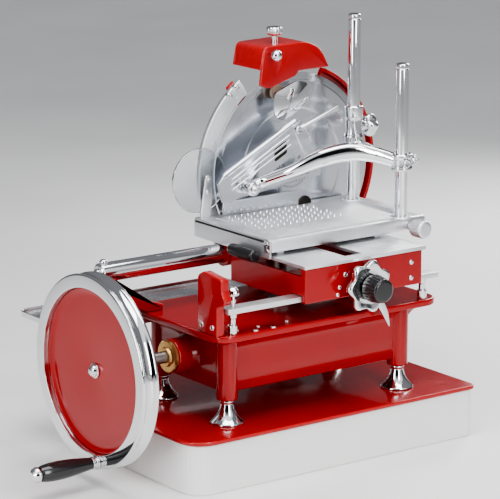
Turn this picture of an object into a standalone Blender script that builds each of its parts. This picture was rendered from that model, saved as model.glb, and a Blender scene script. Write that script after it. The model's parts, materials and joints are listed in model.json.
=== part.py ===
"""Hand-driven flywheel meat slicer, built piece by piece.

X runs along the machine with the flywheel at the low end, Y runs from the meat table to the
blade and the receiving tray, and Z is up.  The origin lies on the underside of the base plate.
All sizes below are in millimetres; MM turns them into Blender's metres.
"""
import bpy
import bmesh
from math import acos, cos, hypot, pi, radians, sin, sqrt
from mathutils import Matrix, Vector

MM = 0.001
GAP = 0.3               # left between faces that touch on the real machine
RUN = 0.4               # running clearance round a turning or sliding part

# base plate and feet
PLATE_LENGTH = 532.0
PLATE_FRONT = 150.0     # from the origin to the front edge
PLATE_REAR = 190.0
PLATE_THICK = 6.0
PLATE_CORNER = 14.0
PLATE_CORNER_LEFT = 45.0
FOOT_HEIGHT = 36.0
FOOT_RADIUS = 25.0
FOOT_INSET = 9.5        # from the end face of the body to the middle of a foot

# hollow body casting
BODY_LENGTH = 340.0
BODY_DEPTH = 182.0
BODY_LIFT = 12.0        # from the top of the feet to the lower rim of the walls
BODY_HEIGHT = 92.0
BODY_WALL = 7.0
BODY_CORNER = 8.0
DECK_THICK = 8.0
DECK_OVERHANG = 28.0
RIGHT_OVERHANG = 48.0   # the deck reaches further out at its right end
DECK_EDGE = 10.0
COLUMN_RADIUS = 16.0

# drive
SHAFT_DROP = 51.0       # from the deck down to the main shaft
SHAFT_RADIUS = 9.0
CROSS_RADIUS = 8.0
FLYWHEEL_RADIUS = 143.0
FLYWHEEL_GAP = 148.0    # from the body to the back of the rim
RIM_BAND = 20.5
RIM_WIDTH = 28.0
DISC_RECESS = 12.0
DISC_THICK = 6.0
MITER_RADIUS = 30.0
MITER_WIDTH = 12.0
MITER_TEETH = 16
BLADE_MITER_RADIUS = 22.0
BLADE_MITER_WIDTH = 11.0
BLADE_MITER_TEETH = 14
MITER_TOOTH = 2.0       # depth of a tooth at the large end
MITER_SET_BACK = 0.7    # each gear stands back along its axis, so the teeth clear
CRANK_RADIUS = 55.0
CRANK_REST = 45.0       # how far right of the crank's centre the pin stands
SPROCKET_RADIUS = 36.0
SPROCKET_TEETH = 24
BLADE_SPROCKET_RADIUS = 15.0
BLADE_SPROCKET_TEETH = 10
SPROCKET_SETBACK = 20.0 # behind the housing's face
CHAIN_THICK = 6.0
CHAIN_WIDTH = 7.0
CHAIN_CLEAR = 0.7       # between the sprocket's tips and the chain
SPROCKET_THICK = 5.0
BLADE_SHAFT_RADIUS = 9.0
SLEEVE_WALL = 5.0       # of the main shaft's bronze bearing
BOSS_LENGTH = 34.0      # of the bearing boss outside the body
CRANK_PIN_RADIUS = 6.0

# blade and what stands round it
BLADE_RADIUS = 150.0
BLADE_X = 133.0
BLADE_RISE = 169.0      # blade axis above the deck
BLADE_SETBACK = 29.0    # cutting face behind the edge of the deck
BLADE_THICK = 3.5
HOUSING_MARGIN = 14.0
CASE_DEPTH = 42.0
CASE_WALL = 6.0
RING_GAP = 3.5
RING_BAND = 27.5
RING_THICK = 8.0

# rails
TUBE_RADIUS = 14.75
TUBE_Y = 80.0
TUBE_RISE = 69.0        # tube axis above the deck
TUBE_LEFT = 78.0        # how far it stands out past the deck
RAIL_WIDTH = 24.0
RAIL_THICK = 8.0
RAIL_RISE = 32.0        # underside of the rail above the deck
BRACKET_THICK = 14.0
RIGHT_BRACKET_THICK = 11.0
RIGHT_BRACKET_DROP = 5.0    # how much lower the right bracket's top is, under the table
BRACKET_LIP = 8.0       # of bracket all round the tube
BLOCK_DEPTH = 57.0      # of the left end block, front to rear
ARM_WIDTH = 26.0        # of the arm under the tube's left end
ARM_FOOT = 30.0         # of that arm on the deck, left to right
CRADLE = 24.0           # length of tube that rests in the arm
STOP_RADIUS = 3.0       # shank of the stop pin

# carriage
CARRIAGE_LEFT = -50.0
CARRIAGE_LENGTH = 221.0
CARRIAGE_FRONT = 8.0    # in front of the deck edge
CARRIAGE_DEPTH = 187.0
CARRIAGE_RISE = 30.0    # lower rim above the deck
CARRIAGE_HEIGHT = 53.0
CARRIAGE_WALL = 5.0
TOP_THICK = 5.0
ROLLER_RADIUS = 12.0
ROLLER_PIN_RADIUS = 4.0
FEED_X = 52.0
FEED_RISE = 46.5        # feed screw above the deck
SCREW_RADIUS = 5.0
HANDWHEEL_RADIUS = 41.0
KNOB_RADIUS = 21.0

# meat table and clamp
TABLE_LEFT = -58.0
TABLE_LENGTH = 281.0
TABLE_DEPTH = 198.0
TABLE_THICK = 20.0
TABLE_CLEAR = 4.5       # between the table and the carriage plate
BLADE_CLEAR = 5.0       # between the table and the cutting face
FEED_TRAVEL = 130.0
POST_RADIUS = 10.0
SOCKET_DEPTH = 14.0     # of a post in the table
SKIRT_THICK = 2.0       # strip along the table's left end
TABLE_KNOB_RADIUS = 14.0
REAR_POST = (220.0, 40.0)    # x, and distance in from the table's rear edge
REAR_POST_LENGTH = 297.0
FRONT_POST = (200.0, 15.0)   # x, and distance in from the table's front edge
FRONT_POST_LENGTH = 239.0
CLAMP_RISE = 74.0       # underside of the clamp's collars above the table
COLLAR_WALL = 7.0
CLAMP_KNOB_RADIUS = 17.0
CLAMP_SCREW_RADIUS = 4.0

# heights and planes worked out from the sizes above
FOOT_TOP = PLATE_THICK + FOOT_HEIGHT
BODY_BOTTOM = FOOT_TOP + BODY_LIFT
DECK = BODY_BOTTOM + BODY_HEIGHT
SHAFT_Z = DECK - SHAFT_DROP
END_X = BODY_LENGTH / 2
DECK_X = END_X + DECK_OVERHANG
SIDE_Y = BODY_DEPTH / 2
DECK_Y = SIDE_Y + DECK_OVERHANG
FOOT_X = END_X - FOOT_INSET
FOOT_Y = SIDE_Y - FOOT_INSET + 2.5
RIM_BACK = -END_X - FLYWHEEL_GAP
RIM_FRONT = RIM_BACK - RIM_WIDTH
BLADE_Y = DECK_Y + BLADE_SETBACK
BLADE_Z = DECK + BLADE_RISE
CASE_Y = BLADE_Y + 10.0
TUBE_Z = DECK + TUBE_RISE
RAIL_Z = DECK + RAIL_RISE
BOX_BOTTOM = DECK + CARRIAGE_RISE
BOX_TOP = BOX_BOTTOM + CARRIAGE_HEIGHT
BOX_FRONT = -DECK_Y - CARRIAGE_FRONT
BOX_REAR = BOX_FRONT + CARRIAGE_DEPTH
BOX_RIGHT = CARRIAGE_LEFT + CARRIAGE_LENGTH
TOP_PLATE = BOX_TOP + GAP + TOP_THICK
FEED_Z = DECK + FEED_RISE
TABLE_Z = TOP_PLATE + TABLE_CLEAR
TABLE_TOP = TABLE_Z + TABLE_THICK
TABLE_REAR = BLADE_Y - BLADE_CLEAR
TABLE_FRONT = TABLE_REAR - TABLE_DEPTH
TABLE_RIGHT = TABLE_LEFT + TABLE_LENGTH
CLAMP_Z = TABLE_TOP + CLAMP_RISE
REAR_POST_Y = TABLE_REAR - REAR_POST[1]
FRONT_POST_Y = TABLE_FRONT + FRONT_POST[1]
YOKE_Z = BOX_BOTTOM - 10.5
CRANK_PIN_Y = sqrt(CRANK_RADIUS ** 2 - CRANK_REST ** 2)
SPROCKET_Y = CASE_Y + SPROCKET_SETBACK
RAIL_FRONT = -DECK_Y + 1.0
RAIL_MIDDLE = RAIL_FRONT + RAIL_WIDTH / 2
LEFT_BRACKET_X = -DECK_X + 1.0
RIGHT_BRACKET_X = DECK_X - 1.0 - RIGHT_BRACKET_THICK

# colour, roughness, metallic
FINISHES = {
    "red_paint": ((0.36, 0.006, 0.008), 0.12, 0.0),
    "aluminium": ((0.62, 0.64, 0.66), 0.32, 1.0),
    "chrome": ((0.75, 0.76, 0.78), 0.06, 1.0),
    "blade_steel": ((0.60, 0.63, 0.67), 0.22, 1.0),
    "tray_steel": ((0.78, 0.79, 0.80), 0.25, 1.0),
    "machined_steel": ((0.36, 0.36, 0.37), 0.35, 1.0),
    "black_plastic": ((0.012, 0.012, 0.013), 0.18, 0.0),
    "black_oxide": ((0.03, 0.03, 0.032), 0.4, 1.0),
    "grey_stone": ((0.33, 0.25, 0.18), 0.9, 0.0),
    "clear_plastic": ((0.86, 0.89, 0.92), 0.04, 0.0),
    "bronze": ((0.55, 0.33, 0.12), 0.35, 1.0),
}

# joint frames: name -> (parent body, point on the axis)
BODIES = {}
PIECES = {}


def clear_scene():
    for thing in list(bpy.data.objects):
        bpy.data.objects.remove(thing, do_unlink=True)


def material(name):
    found = bpy.data.materials.get(name)
    if found:
        return found
    colour, roughness, metallic = FINISHES[name]
    made = bpy.data.materials.new(name)
    made.use_nodes = True
    shader = made.node_tree.nodes["Principled BSDF"]
    shader.inputs["Base Color"].default_value = (*colour, 1.0)
    shader.inputs["Roughness"].default_value = roughness
    shader.inputs["Metallic"].default_value = metallic
    if name == "clear_plastic":
        shader.inputs["Transmission Weight"].default_value = 0.9
    made.diffuse_color = (*colour, 1.0)
    return made


def collection(name):
    made = bpy.data.collections.new(name)
    bpy.context.scene.collection.children.link(made)
    return made


# ---------------------------------------------------------------- basic shapes
def mesh_object(builder, label="shape"):
    """An object holding a builder's bmesh, which is drawn in millimetres."""
    mesh = bpy.data.meshes.new(label)
    bmesh.ops.recalc_face_normals(builder, faces=builder.faces)
    builder.to_mesh(mesh)
    builder.free()
    made = bpy.data.objects.new(label, mesh)
    bpy.context.scene.collection.objects.link(made)
    return made


def settle(made, clean=0.0):
    """Turns an object's curve or live modifiers into its plain mesh."""
    bpy.context.view_layer.update()
    graph = bpy.context.evaluated_depsgraph_get()
    baked = bpy.data.meshes.new_from_object(made.evaluated_get(graph))
    builder = bmesh.new()
    builder.from_mesh(baked)
    if clean:
        bmesh.ops.remove_doubles(builder, verts=builder.verts, dist=clean)
        bmesh.ops.dissolve_degenerate(builder, edges=builder.edges, dist=clean)
        loose = [face for face in builder.faces if face.calc_area() < clean * clean]
        bmesh.ops.delete(builder, geom=loose, context="FACES")
    bmesh.ops.recalc_face_normals(builder, faces=builder.faces)
    builder.to_mesh(baked)
    builder.free()
    plain = bpy.data.objects.new(made.name, baked)
    bpy.context.scene.collection.objects.link(plain)
    bpy.data.objects.remove(made, do_unlink=True)
    return plain


def bevelled(made, width, segments=2, angle=40.0):
    edge = made.modifiers.new("edge", "BEVEL")
    edge.width = width
    edge.segments = segments
    edge.limit_method = "ANGLE"
    edge.angle_limit = radians(angle)
    return settle(made)


def box(low, high, edge=0.0, segments=2):
    """A block between two corners, its edges rounded by edge."""
    builder = bmesh.new()
    bmesh.ops.create_cube(builder, size=1.0)
    size = [b - a for a, b in zip(low, high)]
    middle = [(a + b) / 2 for a, b in zip(low, high)]
    bmesh.ops.scale(builder, vec=size, verts=builder.verts)
    bmesh.ops.translate(builder, vec=middle, verts=builder.verts)
    made = mesh_object(builder)
    return bevelled(made, edge, segments) if edge else made


def turn_to(axis):
    """The rotation that takes +Z to an axis."""
    return Vector((0, 0, 1)).rotation_difference(Vector(axis)).to_matrix().to_4x4()


def rod(start, end, radius, sides=16, end_radius=None):
    """A round bar, or a cone, from one point to another."""
    start, end = Vector(start), Vector(end)
    builder = bmesh.new()
    bmesh.ops.create_cone(
        builder, cap_ends=True, segments=sides, radius1=radius,
        radius2=radius if end_radius is None else end_radius, depth=(end - start).length)
    place = Matrix.Translation((start + end) / 2) @ turn_to(end - start)
    bmesh.ops.transform(builder, matrix=place, verts=builder.verts)
    return mesh_object(builder)


def turned(profile, foot, axis, sides=16):
    """A turned piece: (radius, distance along the axis) points screwed round the axis."""
    builder = bmesh.new()
    points = [builder.verts.new((radius, 0, along)) for radius, along in profile]
    for a, b in zip(points, points[1:]):
        builder.edges.new((a, b))
    if profile[0][0] > 0:
        builder.edges.new((points[-1], points[0]))
    made = mesh_object(builder)
    screw = made.modifiers.new("turn", "SCREW")
    screw.steps = sides
    screw.render_steps = sides
    screw.use_merge_vertices = True
    screw.merge_threshold = 0.0001
    made = settle(made, 0.0001)
    made.data.transform(Matrix.Translation(foot) @ turn_to(axis))
    return made


def slab(outlines, depth, plane="XY", at=0.0):
    """A flat plate: closed outlines (the first is the edge, the rest holes) made thick."""
    curve = bpy.data.curves.new("outline", "CURVE")
    curve.dimensions = "2D"
    curve.fill_mode = "BOTH"
    curve.extrude = depth / 2
    for outline in outlines:
        spline = curve.splines.new("POLY")
        spline.points.add(len(outline) - 1)
        for point, (x, y) in zip(spline.points, outline):
            point.co = (x, y, 0, 1)
        spline.use_cyclic_u = True
    made = bpy.data.objects.new("slab", curve)
    bpy.context.scene.collection.objects.link(made)
    made = settle(made, 0.001)
    middle = at + depth / 2
    frames = {
        "XY": Matrix.Translation((0, 0, middle)),
        "XZ": Matrix.Translation((0, middle, 0)) @ Matrix.Rotation(radians(90), 4, "X"),
        "YZ": Matrix(((0, 0, 1, middle), (1, 0, 0, 0), (0, 1, 0, 0), (0, 0, 0, 1))),
    }
    made.data.transform(frames[plane])
    return made


def arc(centre, radius, start, stop, steps):
    """Points along an arc, with angles in degrees."""
    angles = [radians(start + (stop - start) * k / steps) for k in range(steps + 1)]
    return [(centre[0] + radius * cos(a), centre[1] + radius * sin(a)) for a in angles]


def rounded(low, high, radii, steps=5):
    """A rectangle with rounded corners: right rear, left rear, left front, right front."""
    spots = [(high[0], high[1], -1, -1), (low[0], high[1], 1, -1)]
    spots += [(low[0], low[1], 1, 1), (high[0], low[1], -1, 1)]
    points = []
    for k, ((x, y, sx, sy), radius) in enumerate(zip(spots, radii)):
        points += arc((x + sx * radius, y + sy * radius), radius, 90 * k, 90 * k + 90, steps)
    return points


def loft(rings):
    """A closed body through outlines of equal length, each a list of 3-D points."""
    builder = bmesh.new()
    loops = [[builder.verts.new(point) for point in ring] for ring in rings]
    builder.faces.new(loops[0])
    builder.faces.new(loops[-1])
    for lower, upper in zip(loops, loops[1:]):
        for k in range(len(lower)):
            after = (k + 1) % len(lower)
            builder.faces.new((lower[k], lower[after], upper[after], upper[k]))
    return mesh_object(builder)


def sweep(points, radius, sides_level=2):
    """A bar of round section along a smooth curve through the points."""
    curve = bpy.data.curves.new("path", "CURVE")
    curve.dimensions = "3D"
    curve.bevel_depth = radius
    curve.bevel_resolution = sides_level
    curve.use_fill_caps = True
    curve.resolution_u = 4
    curve.render_resolution_u = 0
    spline = curve.splines.new("NURBS")
    spline.points.add(len(points) - 1)
    for point, spot in zip(spline.points, points):
        point.co = (*spot, 1)
    spline.use_endpoint_u = True
    spline.order_u = 3
    made = bpy.data.objects.new("path", curve)
    bpy.context.scene.collection.objects.link(made)
    return settle(made, 0.001)


def combine(base, others, operation):
    """One exact Boolean for each of the other shapes, which are used up."""
    for other in others:
        other.hide_render = True
        other.display_type = "WIRE"
        step = base.modifiers.new("combine", "BOOLEAN")
        step.operation = operation
        step.solver = "EXACT"
        step.object = other
        base = settle(base, 0.002)
        bpy.data.objects.remove(other, do_unlink=True)
    return base


def join(base, *others):
    return combine(base, others, "UNION")


def cut(base, *others):
    return combine(base, others, "DIFFERENCE")


def lobed(radius, lobes, steps, depth):
    """A circle whose edge waves in and out once for each lobe."""
    points = []
    for k in range(lobes * steps):
        angle = 2 * pi * k / (lobes * steps)
        reach = radius * (1 - depth + depth * cos(lobes * angle))
        points.append((reach * cos(angle), reach * sin(angle)))
    return points


def gear_outline(radius, depth, teeth):
    """A toothed circle with flat tips and flat roots."""
    root = radius - depth
    points = []
    for k in range(teeth):
        for share, reach in ((0.0, root), (0.3, root), (0.42, radius), (0.88, radius)):
            angle = 2 * pi * (k + share) / teeth
            points.append((reach * cos(angle), reach * sin(angle)))
    return points


def miter_gear(apex, axis, radius, width, teeth, bore=0.0):
    """A bevel gear whose cone points at the apex; axis runs from the apex to the gear."""
    rings = []
    for reach in (radius - width, radius):
        outline = gear_outline(reach, MITER_TOOTH * reach / radius, teeth)
        rings.append([(x, y, reach + MITER_SET_BACK) for x, y in outline])
    made = loft(rings)
    made.data.transform(Matrix.Translation(apex) @ turn_to(axis))
    if bore:
        direction = Vector(axis).normalized()
        start = Vector(apex) + direction * (radius - width - 5)
        end = Vector(apex) + direction * (radius + 5)
        made = cut(made, rod(start, end, bore, 24))
    return made


# ---------------------------------------------------------------- naming and placing
def body(name, parent, pivot):
    BODIES[name] = (parent, Vector(pivot))


def piece(name, made, finish, on):
    """Names a finished shape, gives it its material and hands it to a body."""
    made.name = name
    made.data.name = name
    made.data.materials.clear()
    made.data.materials.append(material(finish))
    PIECES[name] = (made, on)
    return made


def assemble(target):
    """Scales to metres, makes an empty at each joint and parents the pieces."""
    empties = {}
    for name, (parent, pivot) in BODIES.items():
        empty = bpy.data.objects.new("axis_" + name, None)
        empty.empty_display_size = 0.02
        target.objects.link(empty)
        origin = BODIES[parent][1] if parent else Vector()
        empty.parent = empties.get(parent)
        empty.location = (pivot - origin) * MM
        empties[name] = empty
    for made, on in PIECES.values():
        pivot = BODIES[on][1]
        made.data.transform(Matrix.Scale(MM, 4) @ Matrix.Translation(-pivot))
        for face in made.data.polygons:
            face.use_smooth = True
        made.data.set_sharp_from_angle(angle=radians(35))
        bpy.context.scene.collection.objects.unlink(made)
        target.objects.link(made)
        made.parent = empties[on]


# ---------------------------------------------------------------- stand and body
def make_base():
    corners = (PLATE_CORNER, PLATE_CORNER, PLATE_CORNER_LEFT, PLATE_CORNER)
    outline = rounded((-PLATE_LENGTH / 2, -PLATE_FRONT), (PLATE_LENGTH / 2, PLATE_REAR), corners, 6)
    plate = slab([outline], PLATE_THICK)
    piece("base_plate", bevelled(plate, 1.2, 1), "red_paint", "root")
    sides = {"left": -1, "right": 1}
    depths = {"front": -1, "rear": 1}
    bell = [(0, FOOT_HEIGHT - GAP), (0.44 * FOOT_RADIUS, FOOT_HEIGHT - GAP)]
    bell += [(0.44 * FOOT_RADIUS, FOOT_HEIGHT - 4), (0.38 * FOOT_RADIUS, FOOT_HEIGHT - 6)]
    for share in (0.66, 0.44, 0.28, 0.16):
        bell.append((FOOT_RADIUS * (1 - 0.60 * (share / 0.66) ** 0.55), FOOT_HEIGHT * share))
    bell += [(FOOT_RADIUS, 3.0), (FOOT_RADIUS, GAP), (0, GAP)]
    for depth, sy in depths.items():
        for side, sx in sides.items():
            foot = turned(bell, (sx * FOOT_X, sy * FOOT_Y, PLATE_THICK), (0, 0, 1), 16)
            piece(f"foot_{depth}_{side}", foot, "chrome", "root")


def make_body():
    def ring(offset, height, right_offset):
        x, y = END_X + offset, SIDE_Y + offset
        outline = rounded((-x, -y), (END_X + right_offset, y), [BODY_CORNER + offset] * 4, 3)
        return [(px, py, height) for px, py in outline]

    def cove(radius, height):
        rise = max(height - (DECK - DECK_EDGE - radius), 0)
        return radius - sqrt(radius ** 2 - rise ** 2)

    small, large = DECK_OVERHANG - 3.0, RIGHT_OVERHANG - 3.0
    under = DECK - DECK_EDGE
    rings = [ring(0, BODY_BOTTOM, 0)]
    for rise in (0, 12, 20, 28, 34, 38.5, 42, 44.3, 45):
        height = under - large + rise
        rings.append(ring(cove(small, height), height, cove(large, height)))
    rings += [ring(DECK_OVERHANG, under, RIGHT_OVERHANG), ring(DECK_OVERHANG, DECK - 3, RIGHT_OVERHANG)]
    rings += [ring(DECK_OVERHANG - 3, DECK, RIGHT_OVERHANG - 3)]
    shell = loft(rings)
    inner = (END_X - BODY_WALL, SIDE_Y - BODY_WALL)
    hollow = box((-inner[0], -inner[1], BODY_BOTTOM - 20), (*inner, DECK - DECK_THICK))
    shell = cut(shell, hollow)
    columns = []
    for x in (-FOOT_X, FOOT_X):
        for y in (-FOOT_Y, FOOT_Y):
            columns.append(rod((x, y, FOOT_TOP + GAP), (x, y, DECK - DECK_EDGE / 2), COLUMN_RADIUS, 20))
    boss_end = -END_X - BOSS_LENGTH
    boss = rod((boss_end, 0, SHAFT_Z), (-inner[0] - 2, 0, SHAFT_Z), SHAFT_RADIUS + 17, 18)
    lug_x = BLADE_X - BLADE_MITER_RADIUS - 42
    lug_half = SHAFT_RADIUS + 7
    lug = box((lug_x, -lug_half, SHAFT_Z - lug_half), (lug_x + 14, lug_half, DECK - 2))
    shell = join(shell, *columns, boss, lug)
    bore = rod((-END_X - 60, 0, SHAFT_Z), (lug_x + 30, 0, SHAFT_Z), SHAFT_RADIUS + RUN, 16)
    seat_radius = SHAFT_RADIUS + SLEEVE_WALL + GAP
    seat = rod((boss_end - 20, 0, SHAFT_Z), (-inner[0] - 20, 0, SHAFT_Z), seat_radius, 16)
    upright = rod((0, 0, DECK - 30), (0, 0, DECK + 10), SHAFT_RADIUS + RUN, 16)
    cross_bore = CROSS_RADIUS + RUN
    cross = rod((BLADE_X, SIDE_Y - 30, SHAFT_Z), (BLADE_X, SIDE_Y + 10, SHAFT_Z), cross_bore, 16)
    piece("body_casting", cut(shell, bore, seat, upright, cross), "red_paint", "root")


def tube_bore():
    ends = [(x, TUBE_Y, TUBE_Z) for x in (-DECK_X - TUBE_LEFT - 40, DECK_X + 40)]
    return rod(*ends, TUBE_RADIUS + GAP, 24)


def make_brackets():
    """The left end block, the arm under the tube's left end and the right bracket."""
    top = TUBE_Z + TUBE_RADIUS + BRACKET_LIP
    front = -DECK_Y
    foot = DECK + GAP
    rear = TUBE_Y + TUBE_RADIUS + BRACKET_LIP
    inner = TUBE_Y - TUBE_RADIUS - BRACKET_LIP
    outline = [(front + 9, foot), (front + BLOCK_DEPTH, foot), (front + BLOCK_DEPTH, top - 8)]
    outline += [(front + 43, top), (front - 3, top - 5), (front - 3, top - 24)]
    outline += [(front - 11, top - 35), (front - 7, top - 42), (front + 9, DECK + 44)]
    left = bevelled(slab([outline], BRACKET_THICK, "YZ", LEFT_BRACKET_X), 2.0, 2)
    piece("left_bracket", left, "red_paint", "root")
    start = -DECK_X - TUBE_LEFT + 2
    seat = TUBE_Z - TUBE_RADIUS / 2
    outline = [(-DECK_X + 2, foot), (-DECK_X + ARM_FOOT, foot), (-DECK_X + ARM_FOOT, foot + 9)]
    outline += [(-DECK_X + 8, foot + 16), (start + CRADLE, seat - 16), (start + CRADLE, seat)]
    outline += [(start, seat), (start, seat - 26)]
    arm = bevelled(slab([outline], ARM_WIDTH, "XZ", TUBE_Y - ARM_WIDTH / 2), 1.5, 1)
    piece("tube_arm", cut(arm, tube_bore()), "red_paint", "root")
    top -= RIGHT_BRACKET_DROP
    outline = [(inner, foot), (rear, foot), (rear, top), (inner, top)]
    right = bevelled(slab([outline], RIGHT_BRACKET_THICK, "YZ", RIGHT_BRACKET_X), 2.0, 2)
    piece("right_bracket", cut(right, tube_bore()), "red_paint", "root")


def make_slide_tube():
    start = -DECK_X - TUBE_LEFT
    length = DECK_X + 4 - start
    profile = [(0, 0), (TUBE_RADIUS - 1.5, 0), (TUBE_RADIUS, 1.5), (TUBE_RADIUS, length - 1.5)]
    profile += [(TUBE_RADIUS - 1.5, length), (0, length)]
    tube = turned(profile, (start, TUBE_Y, TUBE_Z), (1, 0, 0), 24)
    piece("slide_tube", tube, "chrome", "root")
    tip = [(0, GAP), (7, GAP), (7, 3), (4, 5), (5, 9), (3.2, 16), (0, 20)]
    cap = turned(tip, (start, TUBE_Y, TUBE_Z), (-1, 0, 0), 16)
    piece("tube_cap", cap, "chrome", "root")


def make_front_rail():
    """The flat rail on its two posts, and the stop pin that goes down through it."""
    rail_left = LEFT_BRACKET_X + BRACKET_THICK + 2
    low = (rail_left, RAIL_FRONT, RAIL_Z)
    high = (DECK_X + 15, RAIL_FRONT + RAIL_WIDTH, RAIL_Z + RAIL_THICK)
    stop_x = rail_left + 15
    rise = RAIL_RISE
    half = [(0, GAP), (7.5, GAP), (7.5, 13), (5, 15), (5, rise - 9), (6.5, rise - 7)]
    half += [(6.5, rise - GAP), (0, rise - GAP)]
    for side, x in (("left", stop_x), ("right", DECK_X - 9)):
        post = turned(half, (x, RAIL_MIDDLE, DECK), (0, 0, 1), 16)
        if side == "left":
            start, end = (x, RAIL_MIDDLE, RAIL_Z - 12), (x, RAIL_MIDDLE, RAIL_Z + 5)
            post = cut(post, rod(start, end, STOP_RADIUS + RUN, 16))
        piece(f"rail_post_{side}", post, "chrome", "root")
    start, end = (stop_x, RAIL_MIDDLE, RAIL_Z - 5), (stop_x, RAIL_MIDDLE, RAIL_Z + RAIL_THICK + 5)
    rail = cut(box(low, high, 1.0, 1), rod(start, end, STOP_RADIUS + RUN, 16))
    piece("front_rail", rail, "aluminium", "root")
    foot = (stop_x, RAIL_MIDDLE, RAIL_Z + RAIL_THICK)
    body("stop_pin", "root", foot)
    pin = [(0, 31), (5, 30), (9.5, 26), (11, 21), (10, 18), (3.5, 16.5), (5, 12), (5, 8)]
    pin += [(STOP_RADIUS, 4), (STOP_RADIUS, -RAIL_THICK - 10), (0, -RAIL_THICK - 10)]
    piece("stop_pin", turned(pin, foot, (0, 0, 1), 16), "chrome", "stop_pin")


# ---------------------------------------------------------------- drive
def make_flywheel():
    body("flywheel", "root", (RIM_FRONT, 0, SHAFT_Z))
    centre = (RIM_FRONT, 0, SHAFT_Z)
    inner = FLYWHEEL_RADIUS - RIM_BAND
    rim = [(FLYWHEEL_RADIUS - 1.5, 0), (FLYWHEEL_RADIUS, 2), (FLYWHEEL_RADIUS - 3, 11)]
    rim += [(FLYWHEEL_RADIUS - 3, RIM_WIDTH - 9), (FLYWHEEL_RADIUS - 0.5, RIM_WIDTH - 6)]
    rim += [(FLYWHEEL_RADIUS - 2, RIM_WIDTH), (inner, RIM_WIDTH), (inner, 0)]
    axis = (1, 0, 0)
    handle_y, handle_z = -0.14 * FLYWHEEL_RADIUS, SHAFT_Z - 0.915 * FLYWHEEL_RADIUS
    hole = rod((RIM_FRONT - 5, handle_y, handle_z), (RIM_FRONT + 16, handle_y, handle_z), 5 + GAP, 16)
    piece("flywheel_rim", cut(turned(rim, centre, axis, 64), hole), "chrome", "flywheel")
    edge = inner - GAP
    face, back = DISC_RECESS, DISC_RECESS + DISC_THICK
    bore = SHAFT_RADIUS + GAP
    disc = [(edge, face - 3), (edge, back + 4), (edge - 6, back + 4), (edge - 8, back), (30, back)]
    disc += [(26, RIM_WIDTH + 10), (bore, RIM_WIDTH + 10), (bore, face), (edge - 4, face)]
    piece("flywheel_disc", turned(disc, centre, axis, 48), "red_paint", "flywheel")
    nut = [(0, face - 10), (4, face - 9.4), (8, face - 6.5), (9.5, face - 3), (11, face - 2.4)]
    nut += [(11, face - GAP), (0, face - GAP)]
    piece("hub_nut", turned(nut, centre, axis, 18), "chrome", "flywheel")
    body("handle", "flywheel", (RIM_FRONT, handle_y, handle_z))
    foot = (RIM_FRONT, handle_y, handle_z)
    out = (-1, 0, 0)
    post = [(0, 112), (7, 110.5), (11, 106), (12, 101), (10.5, 98), (4.5, 97.6), (4.5, 11.6), (9.5, 11)]
    post += [(9.5, 3), (11, GAP), (5, GAP), (5, -15), (0, -15)]
    piece("handle_post", turned(post, foot, out, 18), "chrome", "flywheel")
    hole = 4.5 + RUN
    grip = [(hole, 12), (9, 12), (10.5, 20), (13.2, 45), (14, 66), (13.4, 85), (11.5, 97.2), (hole, 97.2)]
    piece("handle_grip", turned(grip, foot, out, 18), "black_plastic", "handle")


def make_drive():
    make_main_shaft()
    make_crank()
    make_cross_shaft()
    make_blade_drive()


def make_main_shaft():
    shaft_start = RIM_FRONT + DISC_RECESS
    shaft_end = BLADE_X - BLADE_MITER_RADIUS + 10
    miter = miter_gear((BLADE_X, 0, SHAFT_Z), (-1, 0, 0), BLADE_MITER_RADIUS,
                       BLADE_MITER_WIDTH, BLADE_MITER_TEETH)
    bar = rod((shaft_start, 0, SHAFT_Z), (shaft_end, 0, SHAFT_Z), SHAFT_RADIUS, 16)
    piece("main_shaft", join(bar, miter), "machined_steel", "flywheel")
    outer = SHAFT_RADIUS + SLEEVE_WALL
    bore = SHAFT_RADIUS + RUN
    flange = [(outer, 20), (outer, -GAP), (25, -GAP), (25, -4), (23, -5.5), (15, -5.5), (13.5, -9)]
    flange += [(bore, -9), (bore, 20)]
    sleeve = turned(flange, (-END_X - BOSS_LENGTH, 0, SHAFT_Z), (1, 0, 0), 20)
    piece("shaft_bearing", sleeve, "bronze", "root")
    pinion = miter_gear((0, 0, SHAFT_Z), (-1, 0, 0), MITER_RADIUS, MITER_WIDTH, MITER_TEETH,
                        SHAFT_RADIUS + GAP)
    piece("drive_pinion", pinion, "machined_steel", "flywheel")


def make_crank():
    """The upright gear under the deck, and the crank whose pin drives the carriage."""
    body("crank", "root", (0, 0, SHAFT_Z))
    gear = miter_gear((0, 0, SHAFT_Z), (0, 0, 1), MITER_RADIUS, MITER_WIDTH, MITER_TEETH,
                      SHAFT_RADIUS + GAP)
    piece("crank_gear", gear, "machined_steel", "crank")
    arm_z = DECK + 2.5
    spindle = rod((0, 0, SHAFT_Z + MITER_RADIUS - 10), (0, 0, arm_z + 4), SHAFT_RADIUS, 16)
    angle = acos(CRANK_REST / CRANK_RADIUS) * 180 / pi
    pin = (CRANK_REST, CRANK_PIN_Y)
    outline = arc((0, 0), 18, angle + 90, angle + 270, 10) + arc(pin, 12, angle - 90, angle + 90, 8)
    arm = slab([outline], 7, "XY", arm_z)
    crank_pin = rod((*pin, arm_z + 3), (*pin, YOKE_Z - 0.5), CRANK_PIN_RADIUS, 16)
    piece("crank_arm", join(arm, spindle, crank_pin), "machined_steel", "crank")


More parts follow.
